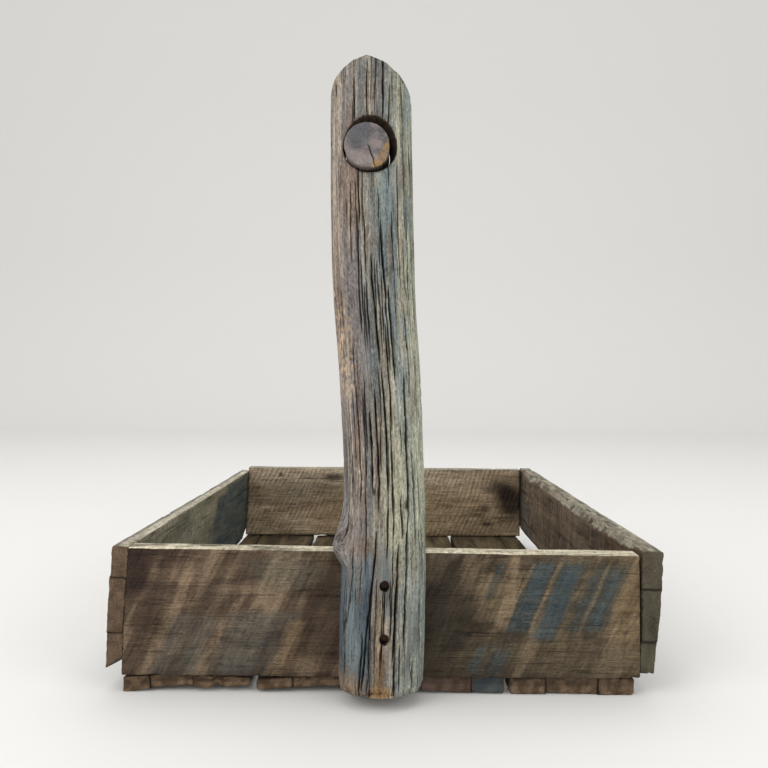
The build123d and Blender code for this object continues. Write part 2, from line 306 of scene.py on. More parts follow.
def wood(name, paint_colours, contrast, crack, bump, roughness, flecks=0.0, sawn=0.0):
    """Weathered wood. Its tone, paint, painted shade and end grain come with the mesh, its fibres from the grain's own
    coordinates, which are in metres along, across and through the wood."""
    material = bpy.data.materials.new(name)
    material.use_nodes = True
    tree = material.node_tree
    tree.nodes.clear()
    tone = node(tree, "ShaderNodeAttribute", attribute_name="tone").outputs["Color"]
    grain = node(tree, "ShaderNodeAttribute", attribute_name="grain").outputs["Vector"]
    paint = node(tree, "ShaderNodeAttribute", attribute_name="paint").outputs["Fac"]
    dirt = node(tree, "ShaderNodeAttribute", attribute_name="dirt").outputs["Fac"]
    ends = node(tree, "ShaderNodeAttribute", attribute_name="ends").outputs["Fac"]

    fibre = grainy(tree, grain, (26, 560, 560), 5, 0.66)
    fine = grainy(tree, grain, (110, 1500, 1500), 3, 0.6)
    speck = grainy(tree, grain, (300, 620, 620), 3, 0.72)
    blotch = grainy(tree, grain, (16, 55, 55), 4, 0.6)
    line = grainy(tree, grain, (13, 430, 430), 3, 0.55, 0.3)
    # End grain: saw lines at a slant and pores.
    slant = node(tree, "ShaderNodeVectorMath", {0: grain, 1: (0, 520, 520)}, operation="DOT_PRODUCT").outputs["Value"]
    wobble = grainy(tree, grain, (0, 120, 120), 2, 0.5)
    saw = maths(tree, "SINE", maths(tree, "ADD", maths(tree, "MULTIPLY", slant, 6.283), maths(tree, "MULTIPLY", wobble, 9.0)))

    def centred(value, amount):
        return maths(tree, "MULTIPLY", maths(tree, "SUBTRACT", value, 0.5), amount)

    brightness = maths(tree, "ADD", 1.0, centred(fibre, 2.4 * contrast))
    brightness = maths(tree, "ADD", brightness, centred(fine, 1.6 * contrast))
    brightness = maths(tree, "ADD", brightness, centred(speck, 2.9 * contrast))
    brightness = maths(tree, "ADD", brightness, centred(blotch, 1.1 * contrast))
    marks = None
    if sawn:
        across = node(tree, "ShaderNodeAttribute", attribute_name="sawn").outputs["Vector"]
        marks = grainy(tree, across, (300, 42, 120), 4, 0.6)
        brightness = maths(tree, "ADD", brightness, centred(marks, 3.2 * sawn))
    brightness = maths(tree, "ADD", brightness, maths(tree, "MULTIPLY", maths(tree, "MULTIPLY", saw, ends), 0.10))
    brightness = maths(tree, "MAXIMUM", brightness, 0.12)
    grey = node(tree, "ShaderNodeCombineColor", {0: brightness, 1: brightness, 2: brightness}).outputs[0]
    colour = mixed(tree, 1.0, tone, grey, "MULTIPLY")
    # Paler, yellower crests and darker, redder hollows of the grain.
    colour = mixed(tree, ramp(tree, fibre, 0.56, 0.74, 0, 0.45), colour, mixed(tree, 1.0, colour, (1.75, 1.6, 1.35, 1), "MULTIPLY"))
    colour = mixed(tree, ramp(tree, blotch, 0.5, 0.3, 0, 0.4), colour, mixed(tree, 1.0, colour, (0.72, 0.62, 0.55, 1), "MULTIPLY"))
    if flecks:
        pale = grainy(tree, grain, (210, 520, 520), 2, 0.6)
        pale = maths(tree, "MULTIPLY", ramp(tree, pale, 0.60, 0.70), flecks)
        colour = mixed(tree, pale, colour, mixed(tree, 1.0, colour, (1.9, 1.85, 1.75, 1), "MULTIPLY"))
    # Fine cracks along the grain are painted dark: painted shade inside them.
    shaded_cracks = maths(tree, "MULTIPLY", ramp(tree, line, 0.385, 0.31), maths(tree, "SUBTRACT", 1.0, ends, True))
    shaded_cracks = maths(tree, "MULTIPLY", shaded_cracks, crack)
    colour = mixed(tree, shaded_cracks, colour, mixed(tree, 1.0, colour, (0.16, 0.13, 0.11, 1), "MULTIPLY"))

    # Paint, worn through on the crests of the grain.
    wear = maths(tree, "ADD", paint, centred(fibre, 0.9))
    wear = maths(tree, "ADD", wear, centred(speck, 1.1))
    wear = maths(tree, "ADD", wear, centred(fine, 0.5))
    painted = ramp(tree, wear, 0.40, 0.62)
    painted = maths(tree, "MULTIPLY", painted, ramp(tree, paint, 0.04, 0.2))
    film = mixed(tree, ramp(tree, blotch, 0.35, 0.65), (*paint_colours[0], 1), (*paint_colours[1], 1))
    film = mixed(tree, 0.55, film, mixed(tree, 1.0, film, grey, "MULTIPLY"))
    colour = mixed(tree, maths(tree, "MULTIPLY", painted, 0.86), colour, film)

    # Painted shade from the mesh darkens the colour towards black: in splits, cracks, hollows, corners and undersides.
    dark = maths(tree, "ADD", dirt, maths(tree, "MULTIPLY", centred(speck, 0.8), ramp(tree, dirt, 0.0, 0.3)))
    colour = mixed(tree, maths(tree, "MINIMUM", dark, 0.96), colour, mixed(tree, 1.0, colour, (0.10, 0.08, 0.065, 1), "MULTIPLY"))

    height = maths(tree, "MULTIPLY", fibre, 0.55)
    height = maths(tree, "ADD", height, maths(tree, "MULTIPLY", fine, 0.25))
    height = maths(tree, "ADD", height, maths(tree, "MULTIPLY", speck, 0.5))
    if marks is not None:
        height = maths(tree, "ADD", height, maths(tree, "MULTIPLY", marks, 0.5))
    height = maths(tree, "SUBTRACT", height, maths(tree, "MULTIPLY", shaded_cracks, 0.9))
    height = maths(tree, "ADD", height, maths(tree, "MULTIPLY", painted, 0.12))
    height = maths(tree, "ADD", height, maths(tree, "MULTIPLY", maths(tree, "MULTIPLY", saw, ends), 0.10))
    bumped = node(tree, "ShaderNodeBump", {"Height": height, "Strength": 0.9, "Distance": bump}).outputs[0]
    rough = maths(tree, "ADD", roughness, centred(fibre, 0.25))
    rough = maths(tree, "SUBTRACT", rough, maths(tree, "MULTIPLY", painted, 0.10))
    inputs = {"Base Color": colour, "Roughness": rough, "Normal": bumped, "Specular IOR Level": 0.25}
    shader = node(tree, "ShaderNodeBsdfPrincipled", inputs)
    node(tree, "ShaderNodeOutputMaterial", {"Surface": shader.outputs[0]})
    return material


def rusty(name):
    """Old iron, brown with rust."""
    material = bpy.data.materials.new(name)
    material.use_nodes = True
    tree = material.node_tree
    tree.nodes.clear()
    place = node(tree, "ShaderNodeTexCoord").outputs["Object"]
    coarse = node(tree, "ShaderNodeTexNoise", {"Vector": place, "Scale": 500.0, "Detail": 4.0}).outputs[0]
    pits = node(tree, "ShaderNodeTexNoise", {"Vector": place, "Scale": 1900.0, "Detail": 3.0}).outputs[0]
    colour = mixed(tree, ramp(tree, coarse, 0.4, 0.62), (0.030, 0.022, 0.018, 1), (0.13, 0.055, 0.028, 1))
    colour = mixed(tree, ramp(tree, pits, 0.58, 0.7), colour, (0.24, 0.10, 0.045, 1))
    height = maths(tree, "ADD", coarse, maths(tree, "MULTIPLY", pits, 0.6))
    bumped = node(tree, "ShaderNodeBump", {"Height": height, "Strength": 0.7, "Distance": 0.0003}).outputs[0]
    rough = ramp(tree, coarse, 0.35, 0.65, 0.55, 0.92)
    inputs = {"Base Color": colour, "Roughness": rough, "Normal": bumped, "Metallic": 0.35}
    shader = node(tree, "ShaderNodeBsdfPrincipled", inputs)
    node(tree, "ShaderNodeOutputMaterial", {"Surface": shader.outputs[0]})
    return material


BLUE = (rgb(54, 68, 74), rgb(74, 82, 80))
post_wood = wood("post_wood", (rgb(80, 96, 106), rgb(104, 116, 118)), 0.82, 0.95, 0.0013, 0.86, flecks=0.6)
board_wood = wood("board_wood", BLUE, 0.62, 0.5, 0.0010, 0.84, flecks=0.25, sawn=0.5)
floor_wood = wood("floor_wood", BLUE, 0.55, 0.5, 0.0009, 0.88, flecks=0.1, sawn=0.2)
pole_wood = wood("pole_wood", BLUE, 0.42, 0.35, 0.0005, 0.62)
rusty_iron = rusty("rusty_iron")


# ---------------------------------------------------------------- boards
def places(length, spacing, needed=()):
    """Places from 0 to length: spacing apart, closer at both ends, and at the needed places."""
    close = [0.0, 0.35, 0.8, 1.5, 2.6, 4.2]
    needed = sorted(v for v in [*close, *(length - c for c in close), *needed] if 0 <= v <= length)
    kept = []
    for v in needed:
        if not kept or v - kept[-1] > 0.12:
            kept.append(v)
    kept[-1] = length
    result = []
    for a, b in zip(kept[:-1], kept[1:]):
        n = max(1, int(round((b - a) / spacing)))
        result.extend(a + (b - a) * k / n for k in range(n))
    return np.array([*result, length])


def block(ls, ws, ts):
    """The surface of a block as a closed mesh of quads: l, w and t of each vertex, and the quads."""
    shape = (len(ls), len(ws), len(ts))
    skin = np.zeros(shape, bool)
    skin[0], skin[-1] = True, True
    skin[:, 0], skin[:, -1] = True, True
    skin[:, :, 0], skin[:, :, -1] = True, True
    index = -np.ones(shape, int)
    index[skin] = np.arange(skin.sum())
    grids = np.meshgrid(ls, ws, ts, indexing="ij")
    params = np.stack([g[skin] for g in grids], 1)

    def quads(a, flip):
        q = np.stack([a[:-1, :-1], a[1:, :-1], a[1:, 1:], a[:-1, 1:]], -1).reshape(-1, 4)
        return q[:, ::-1] if flip else q

    faces = [
        quads(index[:, :, -1], False),
        quads(index[:, :, 0], True),
        quads(index[:, -1, :], True),
        quads(index[:, 0, :], False),
        quads(index[-1], False),
        quads(index[0], True),
    ]
    return params, np.concatenate(faces)


def rounded(p, size, radius):
    """Moves the points of a block's surface onto a block with rounded edges."""
    r = radius[:, None]
    inner = np.clip(p, r, size - r)
    d = p - inner
    n = np.linalg.norm(d, axis=1, keepdims=True)
    return np.where(n > 1e-9, inner + d / np.maximum(n, 1e-9) * r, p)


def split_open(l, length, s):
    """How far open a split is at each place: 1 at its end of the board and 0 where it runs out."""
    along = l if s["end"] == 0 else length - l
    return np.clip(1 - along / s["run"], 0, 1) ** 0.6


def make_board(name, size, place, looks, seed, kerf, splits=(), edge=(1.0, 2.2), spacing=(2.2, 1.7), ends=(None, None),
               relief=0.45, chips=0.0, holes=(), broken=None, torn=None, material=board_wood):
    """One weathered, rough-sawn board. size is its length, width and thickness, and place carries l, w and t
    from its own corner into the frame, all in millimetres."""
    length, width, thick = size
    columns = []
    for s in splits:
        h = s["width"] / 2
        columns += [s["w"] - 1.8 * h, s["w"] - h, s["w"] - 0.45 * h, s["w"] + 0.45 * h, s["w"] + h, s["w"] + 1.8 * h]
    params, quads = block(places(length, spacing[0]), places(width, spacing[1], columns), places(thick, 2.0))
    l, w, t = params.T
    face_l = (l == 0) | (l == length)
    face_t = (t == 0) | (t == thick)
    edge_noise = layered(l / 30, w / 30, t / 30 + 5, seed, 3)
    nicks = step(0.62, 0.78, layered(l / 7, w / 7, t / 7, seed + 3, 2))
    radius = edge[0] + edge[1] * np.clip(edge_noise * 2 - 0.6, 0, 1.5) ** 2 + chips * nicks
    p = rounded(params, np.array(size), np.clip(radius, 0.3, thick * 0.32))

    dirt = np.zeros(len(p))
    lift = np.zeros(len(p))
    for k, s in enumerate(splits):
        opened = split_open(l, length, s)
        wander = (noise(l / 22, s["w"], 0, seed + 40 + k) - 0.5) * 3.0 * (1 - opened)
        lean = s.get("slant", 0.0) * (t / thick - 0.5)
        near = np.exp(-(((w - s["w"]) / 7) ** 2))
        h = s["width"] / 2
        inside = np.abs(w - s["w"]) <= h + 1e-6
        p[:, 1] += np.where(inside, (w - s["w"]) * (0.2 + 0.8 * opened) - (w - s["w"]), 0)
        p[:, 1] += near * (wander + lean + (noise(t / 4, k, 0, seed + 60) - 0.5) * 0.8)
        deep = (np.abs(w - s["w"]) <= 0.5 * h) & (opened > 0)
        inward_t = np.where(t == 0, 1.0, np.where(t == thick, -1.0, 0.0))
        inward_l = np.where(l == 0, 1.0, np.where(l == length, -1.0, 0.0))
        p[:, 2] += np.where(deep, inward_t * opened * min(4.0, 0.3 * thick), 0)
        p[:, 0] += np.where(deep, inward_l * 9.0 * opened, 0)
        # The open splits are darkened: painted shade inside them.
        dirt = np.maximum(dirt, step(2.2 * h, 0.7 * h, np.abs(w - s["w"])) * step(0.0, 0.25, opened) * 0.95)
        along = l if s["end"] == 0 else length - l
        fade = np.clip(1 - along / (1.6 * s["run"]), 0, 1)
        lift += np.where(w > s["w"], s.get("step", 0.0), 0.0) * fade * fade
    p[:, 2] += lift
    torn_off = np.zeros(len(p))
    if broken is not None:  # the lower edge of the inner face is broken away along a slope
        missing = broken(l) - BREAK_SLOPE * p[:, 2] - p[:, 1]
        cut_back = np.clip(missing, 0, None) / (1 + BREAK_SLOPE**2)
        p[:, 1] += cut_back
        p[:, 2] += BREAK_SLOPE * cut_back
    if torn is not None:  # and so is its upper edge, raggedly
        missing = torn(l) - 1.4 * p[:, 2] - (width - p[:, 1])
        cut_back = np.clip(missing, 0, None) / (1 + 1.4**2)
        p[:, 1] -= cut_back
        p[:, 2] += 1.4 * cut_back
        torn_off = step(0.0, 0.6, cut_back)
    for end, shape in zip((0, 1), ends):
        if shape is not None:
            along = l if end == 0 else length - l
            p[:, 0] += (1 if end == 0 else -1) * shape(w, t) * np.clip(1 - along / 60, 0, 1)

    points = place(*p.T)
    quads, _ = outward(points, quads, NO_TRIS)
    normal = normals_of(points, quads, NO_TRIS)
    h = relief * (layered(l / 55, w / 3.4, t / 3.4, seed + 5, 3) - 0.5) * 2
    h += 0.8 * (layered(l / 90, w / 40, t / 40, seed + 6, 2) - 0.5)
    h -= 0.9 * step(0.68, 0.82, layered(l / 16, w / 7, t / 7, seed + 7, 2))
    angle, pitch, depth = kerf
    phase = (l * math.cos(angle) + w * math.sin(angle)) / pitch + 1.3 * noise(l / 70, w / 60, 0, seed + 8)
    strength = step(0.25, 0.7, layered(l / 60, w / 25, 0, seed + 9, 2))
    h += np.where(face_t, depth * np.sin(2 * np.pi * phase) * strength, 0)
    h = np.where(face_l & ~face_t, 0.5 * (layered(w / 2.6, t / 2.6, l, seed + 10, 3) - 0.5) * 2, h)
    points = points + normal * h[:, None]

    obj = mesh_object(name, points, quads)
    source = co_of(obj)
    index = None
    if holes:
        cut(obj, [cylinder("cutter", a, b, r, 28) for a, b, r in holes])
        co = co_of(obj)
        index = nearest(source, co)
    where = {"l": l, "w": w, "t": t, "x": points[:, 0], "y": points[:, 1], "z": points[:, 2], "h": h, "torn": torn_off}
    look = {"paint": np.zeros(len(l)), "dirt": dirt, "ends": step(3.0, 1.0, np.minimum(l, length - l))}
    look["tone"] = np.zeros((len(l), 3))
    looks(where, look)
    # The hollows of the relief are darkened: painted shade.
    look["dirt"] = np.maximum(look["dirt"], 0.35 * step(-0.25, -0.9, h))
    look["grain"] = np.stack([l + 1000 * seed, p[:, 1] + 37 * seed, p[:, 2]], 1) * MM
    lean, pitch, _ = kerf
    wide = where["l"] * math.cos(lean) + where["w"] * math.sin(lean)
    tall = where["w"] * math.cos(lean) - where["l"] * math.sin(lean)
    look["sawn"] = np.stack([wide + 500 * seed, tall, where["t"]], 1) * MM
    if index is not None:
        look = {k: v[index] for k, v in look.items()}
    return dress(obj, look, material, name, "tray")


BREAK_SLOPE = 0.87


def mottled(where, colour_a, colour_b, seed, along=90, across=22, sharp=(0.35, 0.65)):
    """A tone that drifts between two colours along the grain."""
    f = layered(where["l"] / along, where["w"] / across, where["t"] / across, seed, 4)
    return colour_a + (colour_b - colour_a) * step(*sharp, f)[:, None]


def smear(where, cx, cz, wide, low, high, slope=0.42, soft=4.0, seed=0):
    """A slanting stroke on an upright board, leaning right towards the top."""
    drift = 5.0 * (layered(where["x"] / 30, where["z"] / 25, 0, seed, 2) - 0.5)
    across = np.abs(where["x"] - cx - (where["z"] - cz) * slope + drift)
    ends = step(low - 5, low + 4, where["z"]) * step(high + 5, high - 4, where["z"])
    return step(wide / 2 + soft / 2, wide / 2 - soft / 2, across) * ends


def nail_recesses(*names):
    """Cutters round the heads of a node's nails: from outside the wood to the head's lower side."""
    found = []
    for name in names:
        for head, axis, length, head_radius, _ in nails_of(name):
            found.append((head + axis * 6, head - axis * 1.3, head_radius + 0.35))
    return found


def nails_of(name):
    """Each nail of a CAD node: its head's top, the direction out of the wood, its length and its radii."""
    found = []
    for points in solids_of(name):
        centre = points.mean(0)
        _, _, basis = np.linalg.svd(points - centre)
        axis = basis[0]
        along = (points - centre) @ axis
        off = np.linalg.norm(points - centre - np.outer(along, axis), axis=1)
        if along[np.argmax(off)] < 0:
            axis, along = -axis, -along
        line = points[off > off.max() * 0.98].mean(0)
        head_radius = float(off.max())
        top, tip = float(along.max()), float(along.min())
        head = line + axis * (top - float((line - centre) @ axis))
        shank = float(np.median(off[(along < top - 4) & (along > tip + 5)])) if ((along < top - 4) & (along > tip + 5)).any() else head_radius * 0.45
        found.append((head, axis, top - tip, head_radius, shank))
    return found


# Where the boards lie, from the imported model.
def section_of(node, y_near, side):
    """The corners of a side board's end: inner lower, outer lower, outer upper and inner upper."""
    points = cad_points(node)
    end = points[np.abs(points[:, 1] - y_near) < 0.01]
    x, z = end[:, 0], end[:, 2]
    picks = (np.argmax(-side * x - z), np.argmax(side * x - z), np.argmax(side * x + z), np.argmax(-side * x + z))
    return [np.array([x[k], z[k]]) for k in picks]


front_lo, front_hi = (np.array(v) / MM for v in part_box("front_end_board"))
rear_lo, rear_hi = (np.array(v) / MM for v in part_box("rear_end_board"))
end_thick = front_hi[1] - front_lo[1]
y_front, y_rear = front_lo[1], rear_hi[1]


def end_corners(node, y_face):
    points = cad_points(node)
    face = points[np.abs(points[:, 1] - y_face) < 0.01]
    x, z = face[:, 0], face[:, 2]
    picks = (np.argmax(-x - z), np.argmax(x - z), np.argmax(x + z), np.argmax(-x + z))
    return [np.array([x[k], z[k]]) for k in picks]


def end_place(corners, size, y_outer, facing):
    """Places an end board: l from left to right, w upwards, t from the outer face inwards."""
    low_left, low_right, top_right, top_left = corners

    def place(l, w, t):
        a, b = l / size[0], w / size[1]
        low = low_left + np.outer(a, low_right - low_left)
        top = top_left + np.outer(a, top_right - top_left)
        at = low + (top - low) * b[:, None]
        return np.stack([at[:, 0], y_outer + facing * t, at[:, 1]], 1)

    return place


# Front end board: brown and dark, with what is left of blue paint in slanting strokes.
def front_board_looks(where, look):
    x, z, t = where["x"], where["z"], where["t"]
    outer = t < end_thick * 0.5
    left = x < -2
    slanted = layered((x - 0.45 * z) / 13, (z + 0.45 * x) / 70, 0, 6, 4)
    tone = mottled(where, rgb(104, 87, 70), rgb(78, 63, 50), 3, 60, 14)
    right_tone = mottled(where, rgb(98, 85, 65), rgb(66, 56, 43), 4, 70, 12)
    tone = tinted(tone, right_tone, (~left).astype(float))
    tone = tinted(tone, rgb(136, 117, 94), step(0.54, 0.66, slanted) * outer * 0.62)
    tone = tinted(tone, rgb(58, 46, 36), step(0.46, 0.34, slanted) * outer * 0.5)
    strokes = np.zeros(len(x))
    for k, cx in enumerate((-190, -163, -128, -108)):
        cz = 78 + 22 * (noise(k * 3.7) - 0.5)
        strokes = np.maximum(strokes, smear(where, cx, cz, 4 + 5 * noise(k * 1.3), 50, 134, 0.45, 12, 70 + k) * 0.55)
    tone = tinted(tone, rgb(140, 122, 100), strokes * outer * 0.6)
    tone = tinted(tone, rgb(48, 35, 28), patch(x, z, -238, 118, 17, 27, 0.35) * outer * 0.95)
    tone = tinted(tone, rgb(56, 42, 33), patch(x, z, -212, 130, 30, 10, 0.6) * outer * 0.8)
    tone = tinted(tone, rgb(56, 44, 34), patch(x, z, -58, 78, 26, 62, 0.6) * outer * 0.8)
    tone = tinted(tone, rgb(56, 42, 32), patch(x, z, -222, 66, 20, 16, 0.7) * outer * 0.7)
    tone = tinted(tone, rgb(46, 40, 31), patch(x, z, 55, 76, 34, 56, 0.5) * outer * 0.9)
    tone = tinted(tone, rgb(108, 90, 64), patch(x, z, 236, 80, 16, 60, 0.7) * outer * 0.6)
    tone = tinted(tone, rgb(92, 82, 64), patch(x, z, 215, 30, 60, 14, 0.7) * outer * 0.4)
    tone = tinted(tone, rgb(88, 87, 75), patch(x, z, -95, 116, 30, 15, 0.7) * outer * 0.55)
    greyed = smear(where, -190, 50, 44, 16, 74, 0.42, 18, 61) + smear(where, -126, 46, 62, 16, 78, 0.42, 18, 62)
    tone = tinted(tone, rgb(78, 76, 69), greyed * outer * 0.72 * (0.5 + 0.5 * step(0.38, 0.6, slanted)))
    tone = tinted(tone, rgb(122, 104, 82), smear(where, -215, 50, 9, 14, 80, 0.42, 8, 63) * outer * 0.5)
    tone = tinted(tone, rgb(124, 106, 80), smear(where, -92, 46, 14, 14, 70, 0.42, 10, 64) * outer * 0.5)
    bluish = smear(where, 141, 96, 26, 60, 128, 0.42, 8, 65) + smear(where, 166, 90, 26, 52, 128, 0.42, 8, 66)
    bluish = bluish + smear(where, 205, 92, 34, 60, 124, 0.42, 10, 67) + smear(where, 100, 32, 34, 16, 46, 0.42, 8, 68)
    tone = tinted(tone, rgb(64, 68, 64), bluish * outer * 0.6)
    tone = tinted(tone, rgb(74, 64, 49), patch(x, z, 170, 26, 130, 24, 0.8) * outer * 0.5)
    paint = np.zeros(len(x))
    for cx, cz, wide, low, high, amount in (
        (141, 96, 20, 60, 127, 0.66),
        (166, 92, 20, 54, 125, 0.66),
        (211, 94, 16, 62, 122, 0.56),
        (192, 92, 18, 60, 118, 0.48),
        (106, 110, 11, 90, 128, 0.50),
        (88, 33, 10, 21, 47, 0.56),
        (108, 30, 16, 18, 43, 0.56),
        (-176, 50, 26, 18, 66, 0.34),
        (-110, 48, 22, 20, 74, 0.40),
        (-142, 36, 30, 18, 60, 0.34),
        (124, 60, 26, 36, 80, 0.34),
    ):
        paint = np.maximum(paint, smear(where, cx, cz, wide, low, high, 0.42, 7, 90 + int(cx)) * amount)
    paint = np.maximum(paint, patch(x, z, 66, 134, 32, 5, 0.6) * 0.4)
    paint = paint * (0.75 + 0.5 * slanted)
    tan_lines = np.zeros(len(x))
    for cx in (128, 153.5, 201):
        tan_lines = np.maximum(tan_lines, smear(where, cx, 95, 2.2, 62, 126, 0.42, 3.5, 90))
    paint = np.where(outer, paint * (1 - 0.9 * tan_lines), 0.35 * step(0.5, 0.7, layered(where["l"] / 60, where["w"] / 30, 0, 8)))
    tone = tinted(tone, rgb(132, 116, 90), tan_lines * outer * 0.6)
    # The worn upper edge is bleached, and dark where its splinters lift.
    top = step(1.2, 4.0, where["w"] - (where["w"].max() - 4.4)) * step(0.4, 1.8, where["t"])
    top = np.maximum(top, (where["w"] > where["w"].max() - 0.5).astype(float))
    tone = tinted(tone, rgb(200, 192, 168), top * 0.95)
    bare = layered(where["l"] / 26, where["t"] / 5, 0, 21, 4)
    tone = tinted(tone, rgb(118, 112, 98), top * step(0.48, 0.62, bare) * (0.35 + 0.6 * step(-60, -110, x)))
    look["tone"] = tone
    look["paint"] = paint * (1 - top)
    # A strip along the bottom of the outer face is darkened: painted shade along its lower edge.
    under = step(7, 0, where["w"]) * 0.35
    look["dirt"] = np.maximum(look["dirt"], under * outer)


def rear_board_looks(where, look):
    x, z, t = where["x"], where["z"], where["t"]
    inner = t > end_thick * 0.5
    tone = mottled(where, rgb(168, 150, 124), rgb(142, 124, 100), 13, 80, 16)
    tone = tinted(tone, rgb(190, 176, 152), patch(x, z, -60, 134, 190, 22, 0.7) * 0.7)
    tone = tinted(tone, rgb(98, 94, 80), patch(x, z, -150, 96, 70, 22, 0.8) * 0.55)
    tone = tinted(tone, rgb(138, 116, 84), patch(x, z, 60, 50, 160, 40, 0.8) * 0.5)
    stain = patch(x, z, 228, 78, 26, 24, 0.55) + 0.75 * patch(x, z, 205, 104, 22, 14, 0.8)
    stain += 0.9 * patch(x, z, -90, 121, 20, 6, 0.6) + 0.8 * patch(x, z, -187, 125, 4, 4, 0.5)
    stain += 0.7 * patch(x, z, 181, 66, 9, 7, 0.6) + 0.8 * patch(x, z, 184, 38, 9, 5, 0.6)
    stain += 0.5 * patch(x, z, 190, 52, 50, 8, 0.9) * step(0.4, 0.6, layered(x / 9, z / 5, 0, 31))
    tone = tinted(tone, rgb(40, 32, 26), stain * inner * 0.95)
    # The valleys of the saw marks are painted darker: painted shade in their grooves.
    angle, pitch = REAR_KERF[0], REAR_KERF[1]
    phase = (where["l"] * math.cos(angle) + where["w"] * math.sin(angle)) / pitch + 1.3 * noise(where["l"] / 70, where["w"] / 60, 0, 12 + 8)
    lines = step(0.35, 0.9, -np.sin(2 * np.pi * phase)) * step(0.3, 0.6, layered(where["l"] / 40, where["w"] / 20, 0, 15))
    tone = tinted(tone, rgb(78, 62, 46), lines * 0.5 * inner)
    top = step(0.5, 3.0, where["w"] - (where["w"].max() - 3.5))
    tone = tinted(tone, rgb(150, 144, 128), top * 0.7)
    look["tone"] = tone
    patches = step(0.52, 0.66, layered(where["l"] / 55, where["w"] / 34, 0, 33, 3))
    look["paint"] = np.where(inner, 0.0, 0.62 * patches)
    # The inner face is darkened along its foot and at both ends: painted shade in the corners with the floor and side
    # boards.
    look["dirt"] = np.maximum(look["dirt"], step(6, 0, where["w"]) * 0.5 * inner)
    look["dirt"] = np.maximum(look["dirt"], 0.5 * step(5, 0, np.minimum(where["l"], where["l"].max() - where["l"])) * inner)


REAR_KERF = (math.radians(-22), 7.6, 0.34)
corners = end_corners("front_end_board", y_front)
size = (corners[1][0] - corners[0][0], front_hi[2] - front_lo[2], end_thick)
make_board("front_end_board", size, end_place(corners, size, y_front, 1), front_board_looks, 11,
           (math.radians(-25), 8.5, 0.22), edge=(0.9, 1.8), chips=1.1)
corners = end_corners("rear_end_board", y_rear)
size = (corners[1][0] - corners[0][0], rear_hi[2] - rear_lo[2], end_thick)
make_board("rear_end_board", size, end_place(corners, size, y_rear, -1), rear_board_looks, 12,
           REAR_KERF, edge=(0.9, 1.8), chips=0.8)


def side_place(corners, drop, size, y_start):
    """Places a side board: l from front to rear, w upwards, t from the inner face outwards."""
    inner_low, outer_low, outer_top, inner_top = corners

    def place(l, w, t):
        a, b = w / size[1], t / size[2]
        inner = inner_low + np.outer(a, inner_top - inner_low)
        outer = outer_low + np.outer(a, outer_top - outer_low)
        at = inner + (outer - inner) * b[:, None]
        bow = 1.1 * np.sin(np.pi * a) * b * (-1 if outer_low[0] < 0 else 1)
        at = at + np.outer(l / size[0], drop)
        return np.stack([at[:, 0] + bow, y_start + l, at[:, 1]], 1)

    return place


def left_board_looks(where, look):
    l, w, t = where["l"], where["w"], where["t"]
    inner = t < t.max() * 0.5
    tone = mottled(where, rgb(136, 130, 108), rgb(106, 100, 82), 51, 60, 16)
    tone = tinted(tone, rgb(150, 146, 126), step(360, 160, l) * inner * 0.5)
    ragged = 70 * (layered(l / 18, w / 60, 0, 56, 3) - 0.5)
    paint = 0.72 * step(262, 330, l + 1.1 * (70 - w) + ragged) * (0.72 + 0.5 * layered(l / 50, w / 24, 0, 52, 3)) * inner
    paint = paint * (1 - 0.8 * step(98, 112, w - 8 * (l > 400)) * step(520, 470, l))
    paint = np.maximum(paint, 0.40 * step(0.5, 0.62, layered(l / 40, w / 16, 0, 53)) * inner)
    outside = step(0.46, 0.60, layered(l / 70, w / 26, 0, 54, 4))
    paint = np.where(inner, paint, 0.66 * outside)
    tone = tinted(tone, rgb(60, 52, 42), patch(l, w, 420, 30, 90, 20, 0.8) * (~inner) * 0.7)
    top = step(1.0, 3.4, w - (w.max() - 4.0)) * step(0.0, 1.0, t)
    tone = tinted(tone, rgb(180, 173, 155), top * (0.55 + 0.45 * step(0.35, 0.6, layered(l / 30, t / 4, 0, 55))))
    tone = tinted(tone, rgb(104, 98, 90), top * step(t.max() * 0.55, t.max() * 0.8, t) * 0.85)
    ends = step(3.0, 0.6, np.minimum(l, l.max() - l))
    strip = np.where(w > 86, 0.0, np.where(w > 34, 1.0, 0.5))
    tone = tinted(tone, rgb(98, 80, 63) * (1 - 0.12 * strip[:, None]), ends)
    look["tone"] = tone
    look["paint"] = paint * (1 - top) * (1 - ends)
    # The inner face is darkened along its foot and just in front of the rear end board: painted shade in these corners.
    look["dirt"] = np.maximum(look["dirt"], 0.55 * step(10, 0, w) * inner)
    look["dirt"] = np.maximum(look["dirt"], 0.45 * step(20, 0, l.max() - 17 - l) * step(-6, 0, l.max() - 17 - l) * inner)


